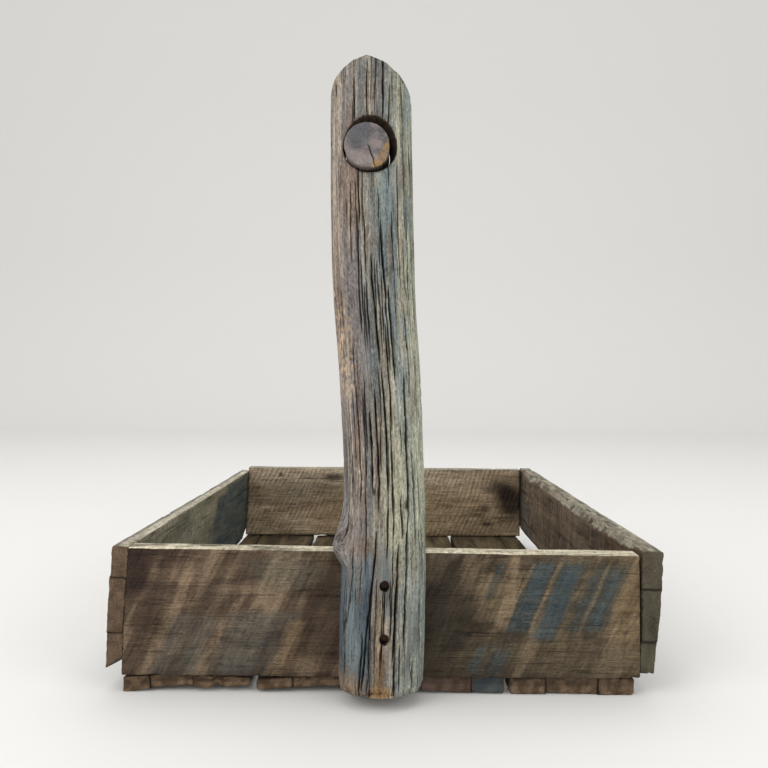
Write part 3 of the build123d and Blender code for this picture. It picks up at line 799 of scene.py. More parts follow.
def right_board_looks(where, look):
    l, w, t = where["l"], where["w"], where["t"]
    inner = t < t.max() * 0.5
    tone = mottled(where, rgb(112, 98, 82), rgb(84, 73, 62), 61, 120, 18)
    tone = tinted(tone, rgb(82, 84, 82), step(400, 500, l) * step(0.4, 0.6, layered(l / 14, w / 60, 0, 62)) * 0.7)
    # The inner face is painted dark beside the rear end board: painted shade in that corner.
    tone = tinted(tone, rgb(52, 42, 34), step(30, 0, l.max() - 17 - l) * inner * 0.8)
    streak = step(0.50, 0.64, layered(l / 4, w / 50, 0, 63, 3))
    tone = tinted(tone, rgb(142, 122, 98), streak * inner * 0.4)
    tone = tinted(tone, rgb(88, 68, 50), patch(l, w, 40, 104, 70, 14, 0.8) * inner * 0.8)
    paint = 0.30 * step(0.52, 0.66, layered(l / 80, w / 30, 0, 64)) * inner
    paint = np.where(inner, paint, 0.68 * step(0.45, 0.6, layered(l / 80, w / 30, 0, 65, 4)))
    top = step(1.0, 3.4, w - (w.max() - 4.0)) * step(0.0, 1.0, t)
    top = np.maximum(top, where["torn"])
    tone = tinted(tone, rgb(150, 145, 128), top * (0.45 + 0.55 * step(0.35, 0.6, layered(l / 22, t / 3, 0, 66, 4))))
    tone = tinted(tone, rgb(86, 84, 74), top * step(0.55, 0.68, layered(l / 16, t / 3, 0, 67, 3)) * 0.85)
    ends = step(3.0, 0.6, np.minimum(l, l.max() - l))
    strip = np.where(w > 80, 0.0, np.where(w > 29, 1.0, 0.2))
    tone = tinted(tone, rgb(80, 75, 60) * (1 - 0.10 * strip[:, None]), ends)
    look["tone"] = tone
    look["paint"] = paint * (1 - top) * (1 - ends)
    # The inner face is darkened along its foot: painted shade in the corner with the floor.
    look["dirt"] = np.maximum(look["dirt"], 0.45 * step(10, 0, w) * inner)


def both_ends(rows):
    """Splits at both ends of a board, from (place across, run in front, run behind, width, slant, step)."""
    found = []
    for w, front_run, rear_run, width, slant, lift in rows:
        found.append({"w": w, "end": 0, "run": front_run, "width": width, "slant": slant, "step": lift})
        found.append({"w": w, "end": 1, "run": rear_run, "width": width, "slant": -slant, "step": -lift})
    return found


def right_tear(along):
    """Height of what is torn off the right side board's upper inner edge."""
    ragged = 9 * (layered(along / 34, 0, 0, 77, 4) - 0.42) + 2.5 * (noise(along / 5, 0, 0, 78) - 0.5)
    return (6.0 + ragged) * step(4, 50, along) * step(575, 470, along) + 2.0 * step(12, 30, along)


for side, looks, seed, rows in (
    ("left", left_board_looks, 21, ((34.0, 150, 95, 1.5, 0.6, 0.4), (86.0, 120, 160, 1.6, -2.4, -0.6))),
    ("right", right_board_looks, 22, ((29.5, 110, 140, 2.0, 1.0, 0.9), (80.5, 170, 80, 1.9, -1.0, -0.5))),
):
    name = f"{side}_side_board"
    lo, hi = (np.array(v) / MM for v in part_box(name))
    outward_x = -1 if side == "left" else 1
    corners = section_of(name, lo[1], outward_x)
    drop = section_of(name, hi[1], outward_x)[3] - corners[3]
    if side == "left":
        corners[0] = corners[1] + corners[3] - corners[2]
        stations = ([0, 45, 518, 560], [13.2, 0, 0, 22])
    else:
        stations = ([80, 200, 540, 560], [0, 11.5, 11.5, 17])
    thick = np.linalg.norm(corners[2] - corners[3])
    size = (hi[1] - lo[1], np.linalg.norm(corners[2] - corners[1]), thick)
    cutters = nail_recesses(f"{side}_side_front_nails", f"{side}_side_rear_nails")
    make_board(name, size, side_place(corners, drop, size, lo[1]), looks, seed,
               (math.radians(20 if side == "left" else 8), 6.5, 0.2), both_ends(rows), edge=(0.9, 2.4),
               chips=0.8 if side == "left" else 2.2, holes=cutters,
               broken=lambda along, s=stations: np.interp(along, *s) + 1.2 * (noise(along / 7, 0, 0, seed + 70) - 0.5),
               torn=right_tear if side == "right" else None)


# ---------------------------------------------------------------- floor boards
def floor_looks(seed, blue=None, warm=0.0):
    def looks(where, look):
        l, w, t = where["l"], where["w"], where["t"]
        upper = t > t.max() * 0.5
        tone = mottled(where, rgb(98, 86, 64), rgb(70, 60, 44), seed, 90, 14)
        tone = tinted(tone, rgb(112, 98, 76), (~upper) * 0.5)
        ends = step(4.0, 0.8, np.minimum(l, l.max() - l))
        tone = tinted(tone, mottled(where, rgb(114 + warm, 94 + warm * 0.8, 74), rgb(80, 64, 48), seed + 1, 8, 5), ends)
        paint = np.zeros(len(l))
        if blue:
            along = step(blue[0] - 3, blue[0] + 3, w) * step(blue[1] + 3, blue[1] - 3, w)
            paint = 0.7 * along * step(26, 4, l)
        look["tone"] = tone
        look["paint"] = paint
        # Painted shade: the top is darkened along both long edges, between the boards, and near both ends, under the
        # end boards.
        seam_shade = step(4, 0, np.minimum(w, w.max() - w)) * 0.4
        corner = step(26, 17, np.minimum(l, l.max() - l)) * 0.35 * upper
        look["dirt"] = np.maximum(look["dirt"], np.maximum(seam_shade * upper, corner))

    return looks


def floor_place(node, size, y_start):
    """Places a floor board: l from front to rear, w from left to right, t upwards between its uneven faces."""
    points = cad_points(node)
    end = points[np.abs(points[:, 1] - y_start) < 0.01][:, [0, 2]]
    left, right = end[:, 0].min(), end[:, 0].max()
    side_heights = [end[np.abs(end[:, 0] - x) < 3.0, 1] for x in (left, right)]
    halfway = np.interp(end[:, 0], [left, right], [(z.min() + z.max()) / 2 for z in side_heights])
    lower = np.array(sorted(set(map(tuple, np.round(end[end[:, 1] < halfway], 2)))))
    upper = np.array(sorted(set(map(tuple, np.round(end[end[:, 1] >= halfway], 2)))))

    def place(l, w, t):
        x = left + w
        under = np.interp(x, lower[:, 0], lower[:, 1])
        over = np.interp(x, upper[:, 0], upper[:, 1])
        return np.stack([x, y_start + l, under + (over - under) * t / size[2]], 1)

    return place


def floor_end(strips, notch=None):
    """How far back each strip of a floor board's end lies, and a ragged hole in it."""

    def shape(w, t):
        back = np.zeros(len(w))
        for low, high, amount in strips:
            back += amount * step(low - 0.8, low + 0.8, w) * step(high + 0.8, high - 0.8, w)
        if notch:
            low, high, deep = notch
            ragged = 1.6 * (noise(t / 3, w / 3, 0, 5) - 0.5)
            back += deep * step(low - 1.2, low + 1.2, w + ragged) * step(high + 1.2, high - 1.2, w + ragged)
        return back

    return shape


for k, (rows, strips, notch, blue, warm) in enumerate((
    (((27.0, 150, 120, 1.9, 1.2, 0.8), (67.0, 110, 90, 1.6, -0.8, -0.9)), ((27, 67, 1.0), (67, 86, -0.4), (95, 122, 0.5)), (86.0, 94.0, 4.0), None, 4),
    (((34.0, 140, 100, 1.7, 2.0, -0.8), (84.0, 90, 130, 1.6, 0.5, 0.5)), ((0, 34, -0.6), (34, 84, 0.8)), None, None, 0),
    (((31.0, 90, 110, 1.5, 0.6, 0.5), (80.0, 130, 90, 1.7, -0.6, 0.6)), ((31, 80, 0.5),), None, (81.0, 111.0), -14),
    (((33.5, 140, 90, 1.8, 0.8, 0.7), (85.0, 120, 120, 1.9, -1.2, -0.6)), ((33, 85, 0.9), (85, 119, 0.2)), None, None, 0),
)):
    name = f"floor_board_{k + 1}"
    lo, hi = (np.array(v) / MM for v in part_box(name))
    points = cad_points(name)
    size = (hi[1] - lo[1], hi[0] - lo[0], 12.0 if k == 1 else 15.0)
    make_board(name, size, floor_place(name, size, lo[1]), floor_looks(70 + 5 * k, blue, warm), 31 + k,
               (math.radians(12 + 9 * k), 6.0, 0.22), both_ends(rows), edge=(1.1, 2.6), spacing=(2.6, 1.8), chips=1.2,
               ends=(floor_end(strips, notch), floor_end(((30, 70, 0.9), (95, 110, 1.4)))),
               holes=nail_recesses(f"{name}_nails"), material=floor_wood)


# ---------------------------------------------------------------- posts
pole_axis = np.array(frame["joints"][0]["pos_m"]) / MM
pole_lo, pole_hi = (np.array(v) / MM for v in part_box("carrying_pole"))
POLE_RADIUS = (pole_hi[2] - pole_lo[2]) / 2


HOLE = (-15.6, 510.5, 25.0)  # where the hole comes out in front: x, z and radius


def bore(name, end, back, depth, inner_radius, seed):
    """What is cut out for the pole: a hole that is close round the pole at the end board and worn wider outwards."""
    sides = 120
    angle = np.arange(sides) / sides * 2 * np.pi
    shares = [-0.4, 0.0, 0.06, 0.12, 0.2, 0.3, 0.4, 0.5, 0.6, 0.7, 0.8, 0.9, 1.0, 1.1, 1.2, 1.5]
    grid = []
    for share in shares:
        c = pole_axis[[0, 2]] + (np.array(HOLE[:2]) - pole_axis[[0, 2]]) * share
        r = inner_radius + (HOLE[2] - inner_radius) * share
        worn = np.clip(share, 0, 1) * 0.7 * layered(np.cos(angle) * 3, np.sin(angle) * 3, share * 3, seed, 3)
        x, z = c[0] + (r + worn) * np.cos(angle), c[1] + (r + worn) * np.sin(angle)
        grid.append(np.stack([x, np.full(sides, back + end * share * depth), z], 1))
    return closed_tube(name, grid)


def post_shape(node, end):
    """How a post lies: the left and right edge at each height, the height of its top, its foot and its depth."""
    lo, hi = (np.array(v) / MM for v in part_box(node))
    back = hi[1] if end < 0 else lo[1]
    depth = hi[1] - lo[1]
    obj = frame["nodes"][node]
    tree = BVHTree.FromObject(obj, bpy.context.evaluated_depsgraph_get())
    heights = np.arange(lo[2] + 1, hi[2] - 34, 4.0)
    middle = (lo[0] + hi[0]) / 2
    y = (back + end * 2.5) * MM
    left, right = [], []
    for z in heights:
        for found, direction in ((left, -1), (right, 1)):
            hit = tree.ray_cast(Vector(((middle + direction * 200) * MM, y, z * MM)), Vector((-direction, 0, 0)))
            found.append(hit[0].x / MM)
    across = np.linspace(lo[0] + 1, hi[0] - 1, 60)
    top = []
    for x in across:
        hit = tree.ray_cast(Vector((x * MM, (back + end * 4) * MM, (hi[2] + 50) * MM)), Vector((0, 0, -1)))
        top.append(hit[0].z / MM if hit[0] is not None and hit[0].z / MM > hi[2] - 80 else np.nan)
    top = np.array(top)
    good = ~np.isnan(top)
    return {"foot": lo[2], "tip": hi[2], "back": back, "depth": depth, "z": heights, "left": np.array(left),
            "right": np.array(right), "top_x": across[good], "top_z": top[good]}


def arc_share(u):
    """Share of the way round the front, from its left to its right edge, at share u of the width."""
    return np.arccos(np.clip(1 - 2 * np.asarray(u, float), -1, 1)) / np.pi


def make_post(name, end, seed, cracks, knot, looks, chip=None, rows=285, front=212, flat=30):
    shape = post_shape(name, end)
    z_clean = shape["z"]
    left, right = shape["left"].copy(), shape["right"].copy()
    if knot:  # the bulge is added below, so the edge runs straight past it here
        skip = (z_clean > knot["z"] - 26) & (z_clean < knot["z"] + 52)
        left = np.interp(z_clean, z_clean[~skip], left[~skip])
    foot, tip = shape["foot"], shape["tip"]

    # One row per height, each a loop: round the front from left to right, then back along the flat.
    a = np.linspace(0, 1, front)
    b = np.linspace(0, 1, flat + 2)[1:-1]
    angle = np.pi * (1 - a)
    n = front + flat
    is_flat = np.concatenate([np.zeros(front, bool), np.ones(flat, bool)])
    share = np.concatenate([a, 1 - b])  # of the way from left to right, along the loop
    v = np.linspace(0, 1, rows) ** 1.0

    def ring(z_base, scale=1.0):
        """x and y of the loop at the heights z_base, one per point, shrunk towards the middle by scale."""
        xl, xr = np.interp(z_base, z_clean, left), np.interp(z_base, z_clean, right)
        centre, half = (xl + xr) / 2, (xr - xl) / 2
        flank = 7.0
        x = np.empty(n)
        y = np.empty(n)
        x[:front] = centre[:front] + half[:front] * np.cos(angle)
        rise = np.sin(angle)
        near = np.clip(rise / 0.18, 0, 1)
        y[:front] = flank * near + (shape["depth"] - flank) * rise
        x[front:] = centre[front:] + half[front:] * (1 - 2 * b)
        y[front:] = 0.0
        middle_y = shape["depth"] * 0.42
        x = centre + (x - centre) * scale
        y = middle_y + (y - middle_y) * scale
        return x, shape["back"] + end * y

    x_top, _ = ring(np.full(n, tip - 30.0))
    top_z = np.interp(x_top, shape["top_x"], shape["top_z"])
    top_z = np.where(x_top < shape["top_x"][0], shape["top_z"][0], top_z)
    grid = []
    for share_z in v:
        knee = tip - 70
        full = foot + (tip - foot) * share_z
        near_top = np.clip((full - knee) / (tip - knee), 0, 1)
        z = np.where(full > knee, knee + (top_z - knee) * near_top, full)
        x, y = ring(z)
        grid.append(np.stack([x, y, z], 1))
    base = grid[0]
    rings = [0.0, 0.25, 0.5, 0.7, 0.84, 0.93, 0.98]
    bottom, top = [], []
    for s in rings:
        x, y = ring(base[:, 2], s)
        bottom.append(np.stack([x, y, base[:, 2]], 1))
        x, y = ring(grid[-1][:, 2], s)
        x_edge = np.clip(x, shape["top_x"][0], shape["top_x"][-1])
        z = np.interp(x_edge, shape["top_x"], shape["top_z"])
        top.append(np.stack([x, y, z], 1))
    stack = np.array(bottom + grid + top[::-1])
    k = len(stack)
    kind = np.concatenate([np.zeros(len(rings)), np.ones(len(grid)), 2 * np.ones(len(rings))])
    points = stack.reshape(-1, 3)
    part = np.repeat(kind, n)
    s_all = np.tile(share, k)
    flat_all = np.tile(is_flat, k)
    i, j = np.meshgrid(np.arange(k - 1), np.arange(n), indexing="ij")
    jn = (j + 1) % n
    quads = np.stack([i * n + j, i * n + jn, (i + 1) * n + jn, (i + 1) * n + j], -1).reshape(-1, 4)
    # The innermost rings close on one point each.
    first, last = 0, (k - 1) * n
    points[first:first + n] = points[first:first + n].mean(0)
    points[last:last + n] = points[last:last + n].mean(0)
    remap = np.arange(len(points))
    remap[first:first + n] = first
    remap[last:last + n] = last
    quads = remap[quads]
    ok = np.array([True] * len(quads))
    tri_rows = (quads[:, 0] == quads[:, 1]) | (quads[:, 2] == quads[:, 3])
    tris = quads[tri_rows]
    tris = np.where((tris[:, 0] == tris[:, 1])[:, None], tris[:, [0, 2, 3]], tris[:, [0, 1, 2]])
    quads = quads[ok & ~tri_rows]
    used, inverse = np.unique(np.concatenate([quads.ravel(), tris.ravel()]), return_inverse=True)
    inverse = inverse.ravel()
    quads, tris = inverse[: quads.size].reshape(-1, 4), inverse[quads.size:].reshape(-1, 3)
    points, part, s_all, flat_all = points[used], part[used], s_all[used], flat_all[used]

    z = points[:, 2].copy()
    arc = 1.5 * shape["depth"] + 1.7 * 38  # millimetres round the front
    s = s_all * arc
    front_side = (part == 1) & ~flat_all
    u = 0.5 * (1 - np.cos(np.pi * s_all))
    dirt = np.zeros(len(z))
    depth_sum = np.zeros(len(z))
    grain_shift = np.zeros(len(z))
    if knot:
        above = np.clip((z - knot["z"]) / knot["rise"], 0, 1)
        below = np.clip((knot["z"] - z) / knot["fall"], 0, 1)
        bell = (1 - above) ** 1.6 * (1 - below**1.5)
        round_ = np.exp(-(((s_all - 0.05) / 0.17) ** 2))
        bulge = knot["reach"] * bell * round_
        swirl = np.exp(-(((s - 16) / 15) ** 2) - ((z - knot["z"] - 6) / 22) ** 2)
        grain_shift = 6 * swirl * np.sin((z - knot["z"]) / 11 + s / 9)
    else:
        bulge = np.zeros(len(z))
        swirl = np.zeros(len(z))
    for m, (u0, z0, u1, z1, wide, deep) in enumerate(cracks):
        f = np.clip((z0 - z) / (z0 - z1), 0, 1)
        at = (arc_share(u0) + (arc_share(u1) - arc_share(u0)) * f) * arc
        at = at + (noise(z / 70, m * 7.3, 0, seed + 30) - 0.5) * 2.4 + (layered(z / 13, m * 7.3, 0, seed + 32, 2) - 0.5) * 1.1
        taper = np.clip((z0 - z) / 16, 0, 1) * np.clip((z - z1) / 16, 0, 1)
        taper = taper**0.6 * (0.65 + 0.6 * noise(z / 9, m * 3.1, 0, seed + 31))
        d = np.abs(s + 0.25 * grain_shift - at)
        groove = np.clip(1 - d / np.maximum(wide * np.clip(taper, 0.35, 1.2), 0.2), 0, 1) * (taper > 0)
        depth_sum = np.maximum(depth_sum, deep * groove**0.7 * taper * front_side)
        # The cracks are darkened: painted shade inside them.
        dirt = np.maximum(dirt, step(0.0, 0.55, groove) * step(0.05, 0.4, taper) * front_side)
    quads, tris = outward(points, quads, tris)
    normal = normals_of(points, quads, tris)
    g = s + grain_shift
    h = 0.55 * (layered(z / 80, g / 2.6, 0, seed + 1, 3) - 0.5) * 2
    h += 1.6 * (layered(z / 60, g / 11, 0, seed + 2, 2) - 0.5)
    h += 2.2 * (layered(z / 120, s / 40, 0, seed + 3, 2) - 0.5)
    h -= 1.2 * step(0.66, 0.8, layered(z / 14, g / 4.0, 0, seed + 4, 2))
    h += swirl * 2.2 * (layered(z / 3.6, s / 3.2, 0, seed + 5, 3) - 0.5) * 2
    h = np.where(flat_all & (part == 1), 0.5 * (layered(z / 60, points[:, 0] / 4, 0, seed + 6, 3) - 0.5) - 0.3, h)
    edge_blend = step(0.0, 0.03, np.minimum(s_all, 1 - s_all))
    h = np.where(flat_all, h, h * (0.25 + 0.75 * edge_blend))
    h = np.where(part != 1, 0.9 * (layered(points[:, 0] / 5, points[:, 1] / 5, 0, seed + 7, 3) - 0.5), h)
    hole_x, hole_z, hole_r = HOLE
    rim = np.hypot(points[:, 0] - hole_x, z - hole_z) - hole_r
    h -= np.where(~flat_all, 1.4 * np.exp(-np.clip(rim, 0, 50) / 1.6) * (0.4 + noise(points[:, 0] / 4, z / 4, 0, seed)), 0)
    # The rim of the foot and the edges of the top are worn round.
    worn = step(7.0, 0.0, z - foot) * (0.9 + 2.4 * noise(s / 9, 0, 0, seed + 8) ** 2)
    ring_top = np.interp(points[:, 0], shape["top_x"], shape["top_z"])
    worn = worn + step(3.5, 0.0, ring_top - z) * 0.8
    h -= np.where((part == 1) & ~flat_all, worn, 0)
    if chip is not None:
        h -= 3.0 * chip(u, z) * front_side
    offset = normal * (h - depth_sum)[:, None]
    points = points + offset
    points[:, 0] -= bulge * 0.97
    points[:, 1] += end * bulge * 0.35 * np.where(flat_all, 0, 1)
    points[:, 1] = np.where(end * (points[:, 1] - shape["back"]) < 0, shape["back"], points[:, 1])

    obj = mesh_object(name, points, quads, tris)
    source = co_of(obj)
    face = shape["back"] + end * shape["depth"]
    cutters = [bore("cutter", end, shape["back"], shape["depth"], POLE_RADIUS + 0.3, seed)]
    for head, axis, length, radius, _ in nails_of(f"{name}_spikes"):
        cutters.append(cylinder("cutter", head - axis * 2.0, head + axis * 20, radius - 0.6, 28, 9, 1.3, 1.25, seed + 3))
    cut(obj, cutters)
    co = co_of(obj)
    index = nearest(source, co)
    where = {"u": u[index], "z": co[:, 2], "x": co[:, 0], "y": co[:, 1], "s": s[index], "part": part[index],
             "flat": flat_all[index], "swirl": swirl[index], "bulge": bulge[index], "g": g[index]}
    look = {"dirt": dirt[index], "paint": np.zeros(len(co)), "tone": np.zeros((len(co), 3))}
    look["ends"] = (where["part"] != 1).astype(float)
    looks(where, look)
    out = np.clip(end * (co[:, 1] - shape["back"]) / shape["depth"], 0, 1)
    wall_x = pole_axis[0] + (hole_x - pole_axis[0]) * out
    wall_z = pole_axis[2] + (hole_z - pole_axis[2]) * out
    wall_r = POLE_RADIUS + 0.3 + (hole_r - POLE_RADIUS - 0.3) * out
    wall = np.hypot(co[:, 0] - wall_x, co[:, 2] - wall_z) < wall_r + 0.85
    # The wall of the hole is painted dark brown and darkened further: painted shade inside the hole.
    look["tone"] = tinted(look["tone"], rgb(88, 72, 54), wall.astype(float) * 0.9)
    look["dirt"] = np.where(wall, np.clip(step(20, 4, end * (face - co[:, 1]) * 1.0) * 0 + 0.45, 0, 1), look["dirt"])
    # The recess round each spike head is darkened: painted shade.
    for head, axis, length, radius, _ in nails_of(f"{name}_spikes"):
        near = np.hypot(co[:, 0] - head[0], co[:, 2] - head[2])
        look["dirt"] = np.maximum(look["dirt"], 0.97 * step(radius + 1.2, radius - 0.4, near) * (end * (co[:, 1] - shape["back"]) > 3))
    shifted = np.interp(where["z"], z_clean, (left + right) / 2)
    look["grain"] = np.stack([where["z"] + 1000 * seed, where["g"] + 31 * seed, (co[:, 1] - shape["back"]) * where["flat"] + (co[:, 0] - shifted) * 0.25], 1) * MM
    return dress(obj, look, post_wood, name, "tray", 60)


# Share of the width and height where each crack starts and ends, its half width and its depth.
FRONT_CRACKS = [
    (0.64, 604, 0.64, 532, 1.0, 6.0),
    (0.07, 590, 0.08, 505, 0.8, 3.0),
    (0.345, 492, 0.355, 438, 1.0, 4.5),
    (0.25, 478, 0.26, 402, 0.7, 2.6),
    (0.60, 444, 0.63, 368, 1.15, 5.0),
    (0.68, 386, 0.69, 298, 1.3, 6.0),
    (0.33, 422, 0.33, 340, 0.85, 3.5),
    (0.47, 412, 0.52, 312, 1.05, 4.5),
    (0.41, 392, 0.42, 330, 0.75, 3.0),
    (0.62, 350, 0.62, 252, 0.8, 3.2),
    (0.20, 338, 0.20, 286, 0.75, 3.0),
    (0.86, 334, 0.86, 286, 0.8, 3.0),
    (0.78, 306, 0.79, 236, 0.95, 4.0),
    (0.54, 304, 0.56, 192, 1.15, 5.0),
    (0.44, 292, 0.44, 180, 1.1, 5.0),
    (0.21, 294, 0.21, 188, 0.95, 4.0),
    (0.12, 288, 0.12, 184, 0.75, 3.0),
    (0.36, 272, 0.37, 198, 1.25, 5.0),
    (0.78, 264, 0.79, 172, 1.25, 5.5),
    (0.94, 252, 0.94, 226, 0.7, 2.0),
    (0.90, 216, 0.91, 138, 0.8, 3.0),
    (0.695, 194, 0.72, 156, 1.4, 6.0),
    (0.79, 176, 0.76, 60, 1.25, 5.5),
    (0.41, 164, 0.28, 18, 1.25, 5.0),
    (0.67, 154, 0.63, 46, 1.35, 6.0),
    (0.17, 148, 0.09, 72, 1.0, 4.0),
    (0.05, 122, 0.05, 56, 0.8, 3.0),
    (0.53, 114, 0.52, 68, 1.0, 4.5),
    (0.27, 72, 0.26, 6, 1.0, 4.0),
    (0.50, 64, 0.48, 32, 0.95, 4.0),
    (0.65, 50, 0.66, 6, 1.0, 4.0),
    (0.86, 46, 0.86, 4, 1.1, 5.0),
    (0.72, 566, 0.72, 470, 0.75, 3.0),
    (0.88, 560, 0.90, 420, 0.7, 2.6),
    (0.82, 500, 0.83, 378, 0.8, 3.0),
    (0.90, 404, 0.91, 330, 0.85, 3.2),
    (0.85, 372, 0.86, 300, 0.8, 3.0),
    (0.74, 452, 0.75, 396, 0.8, 3.0),
    (0.10, 250, 0.11, 190, 0.8, 3.0),
    (0.30, 256, 0.30, 200, 0.9, 3.6),
    (0.84, 238, 0.86, 150, 0.9, 3.6),
    (0.60, 246, 0.60, 176, 0.9, 3.8),
    (0.08, 112, 0.07, 16, 0.85, 3.2),
    (0.38, 108, 0.37, 60, 0.8, 3.0),
    (0.92, 110, 0.93, 40, 0.85, 3.2),
]


def fine_cracks(count, seed):
    """Small cracks all over a post."""
    found = []
    for k in range(count):
        r = [float(noise(k * 5.17 + 0.5, q * 9.1 + 0.5, 0, seed)) for q in range(5)]
        u = np.clip(0.5 + (r[0] - 0.5) * 1.35, 0.02, 0.98)
        top = 40 + np.clip(0.5 + (r[1] - 0.5) * 1.5, 0, 1) * 560
        found.append((u, top, u + (r[2] - 0.5) * 0.03, top - 28 - 75 * r[3], 0.55 + 0.3 * r[4], 1.2 + 1.8 * r[2]))
    return found


REAR_CRACKS = [
    (0.30, 604, 0.32, 530, 1.0, 6.0),
    (0.70, 490, 0.68, 330, 1.2, 6.0),
    (0.52, 470, 0.50, 250, 1.1, 5.5),
    (0.22, 420, 0.25, 260, 1.1, 5.0),
    (0.80, 300, 0.78, 110, 1.2, 5.5),
    (0.42, 240, 0.44, 8, 1.3, 6.0),
    (0.62, 200, 0.60, 4, 1.1, 5.0),
    (0.15, 180, 0.18, 30, 1.0, 4.0),
]


def post_tones(where, look):
    """Silver grey to the left, greener to the right and blue where paint is left; both flanks paler and the middle
    darker, painted light and shade.
    """
    u, z, g = where["u"], where["z"], where["g"]
    cross = u + 0.10 * (layered(z / 60, g / 9, 0, 5, 3) - 0.5)
    # The middle is darker than both flanks: painted shade between painted light on the flanks, besides the change of
    # hue.
    left = rgb(140, 129, 121)
    middle = rgb(124, 119, 111)
    right = rgb(143, 145, 134)
    tone = left + (middle - left) * step(0.22, 0.36, cross)[:, None]
    tone = tinted(tone, right, step(0.56, 0.70, cross))
    streak = layered(z / 110, g / 4.2, 0, 6, 3)
    tone = tinted(tone, rgb(98, 104, 108), step(0.52, 0.66, streak) * 0.6)
    tone = tinted(tone, rgb(172, 162, 142), step(0.44, 0.34, streak) * 0.5)
    tone = tinted(tone, rgb(112, 86, 68), step(0.58, 0.70, layered(z / 60, g / 5.5, 0, 7, 3)) * 0.45)
    tone = tinted(tone, rgb(150, 154, 132), step(0.52, 0.7, layered(z / 90, g / 14, 0, 8, 2)) * step(0.4, 0.7, u) * 0.5)
    tone = tinted(tone, rgb(104, 120, 126), step(0.50, 0.66, layered(z / 50, g / 8, 0, 11, 3)) * step(0.3, 0.6, u) * 0.5)
    look["tone"] = tone


def front_post_looks(where, look):
    u, z, g = where["u"], where["z"], where["g"]
    post_tones(where, look)
    tone = look["tone"]
    tone = tinted(tone, rgb(184, 162, 138), patch(u, z, 0.10, 326, 0.14, 44, 0.4) * step(0.40, 0.58, layered(z / 3, g / 2.5, 0, 9)) * 0.8)
    tone = tinted(tone, rgb(128, 106, 90), patch(u, z, 0.26, 470, 0.12, 40, 0.6) * 0.6)
    tone = tinted(tone, rgb(112, 108, 112), patch(u, z, 0.30, 360, 0.12, 60, 0.6) * 0.6)
    tone = tinted(tone, rgb(92, 98, 98), patch(u, z, 0.44, 330, 0.12, 60, 0.7) * 0.55)
    tone = tinted(tone, rgb(170, 164, 140), patch(u, z, 0.62, 190, 0.16, 60, 0.7) * 0.55)
    tone = tinted(tone, rgb(160, 164, 146), patch(u, z, 0.86, 200, 0.16, 70, 0.7) * 0.6)
    mixed_up = step(0.40, 0.60, layered(z / 3, g / 2.6, 0, 12, 3))
    tone = tinted(tone, rgb(96, 90, 86), where["swirl"] * 0.9 * (1 - mixed_up))
    tone = tinted(tone, rgb(138, 132, 128), where["swirl"] * 0.9 * mixed_up)
    tone = tinted(tone, rgb(104, 84, 68), patch(u, z, 0.30, 148, 0.10, 10, 0.7) * 0.6)
    tone = tinted(tone, rgb(150, 128, 98), patch(u, z, 0.46, 60, 0.06, 46, 0.6) * 0.6)
    tone = tinted(tone, rgb(128, 102, 76), patch(u, z, 0.12, 20, 0.16, 12, 0.6) * 0.8)
    tone = tinted(tone, rgb(110, 82, 58), patch(u, z, 0.50, 36, 0.05, 24, 0.6) * 0.7)
    fresh = patch(u, z, 0.50, 15, 0.16, 10, 0.3)
    tone = tinted(tone, rgb(158, 128, 90), fresh * 0.9 * (0.6 + 0.4 * step(0.4, 0.6, layered(z / 6, g / 3, 0, 13))))
    tone = tinted(tone, rgb(40, 34, 30), (patch(u, z, 0.77, 187, 0.022, 5, 0.5) + patch(u, z, 0.38, 199, 0.02, 4, 0.5)) * 0.9)
    lines = step(0.36, 0.6, layered(z / 70, g / 5, 0, 10, 3))
    tone = tinted(tone, rgb(92, 94, 94), step(150, 118, z) * step(16, 40, z) * step(0.50, 0.34, u) * 0.75)
    tone = tinted(tone, rgb(112, 102, 92), step(60, 40, z) * step(0.40, 0.2, u) * 0.5)
    tone = tinted(tone, rgb(136, 142, 134), step(130, 100, z) * step(0.62, 0.76, u) * 0.7)
    paint = 0.72 * step(172, 128, z) * step(12, 44, z) * step(0.47, 0.34, u) * (0.35 + 0.65 * lines)
    paint = np.maximum(paint, 0.46 * step(130, 90, z) * step(8, 24, z) * step(0.66, 0.8, u) * lines)
    paint = np.maximum(paint, 0.55 * patch(u, z, 0.52, 120, 0.10, 45, 0.6) * lines)
    paint = np.maximum(paint, 0.45 * patch(u, z, 0.60, 560, 0.06, 26, 0.6) * lines)
    paint = np.maximum(paint, 0.42 * patch(u, z, 0.80, 455, 0.10, 60, 0.7) * lines)
    paint = np.maximum(paint, 0.40 * patch(u, z, 0.76, 352, 0.05, 40, 0.7) * lines)
    paint = np.maximum(paint, 0.34 * patch(u, z, 0.30, 330, 0.10, 100, 0.7) * lines)
    look["tone"] = tone
    look["paint"] = paint * (1 - fresh) * (1 - 0.7 * where["swirl"])
    look["dirt"] = look["dirt"] * (1 - 0.6 * fresh)
    # The underside of the foot is darkened: painted shade.
    look["dirt"] = np.maximum(look["dirt"], 0.5 * (where["part"] == 0) * (1 - fresh))


def rear_post_looks(where, look):
    u, z, g = where["u"], where["z"], where["g"]
    post_tones(where, look)
    lines = step(0.36, 0.6, layered(z / 70, g / 5, 0, 14, 3))
    paint = 0.7 * step(200, 120, z) * step(0.35, 0.6, layered(z / 60, g / 18, 0, 15, 2)) * lines
    look["paint"] = np.maximum(paint, 0.45 * patch(u, z, 0.5, 420, 0.3, 80, 0.7) * lines)
    # The underside of the foot is darkened: painted shade.
    look["dirt"] = np.maximum(look["dirt"], 0.5 * (where["part"] == 0))


def fresh_chip(u, z):
    return patch(u, z, 0.50, 14, 0.15, 10, 0.4)


KNOT = {"z": 146.0, "rise": 40.0, "fall": 20.0, "reach": 9.6}
make_post("front_post", -1, 41, FRONT_CRACKS + fine_cracks(46, 3), KNOT, front_post_looks, fresh_chip)
make_post("rear_post", 1, 42, REAR_CRACKS + fine_cracks(60, 4), None, rear_post_looks)


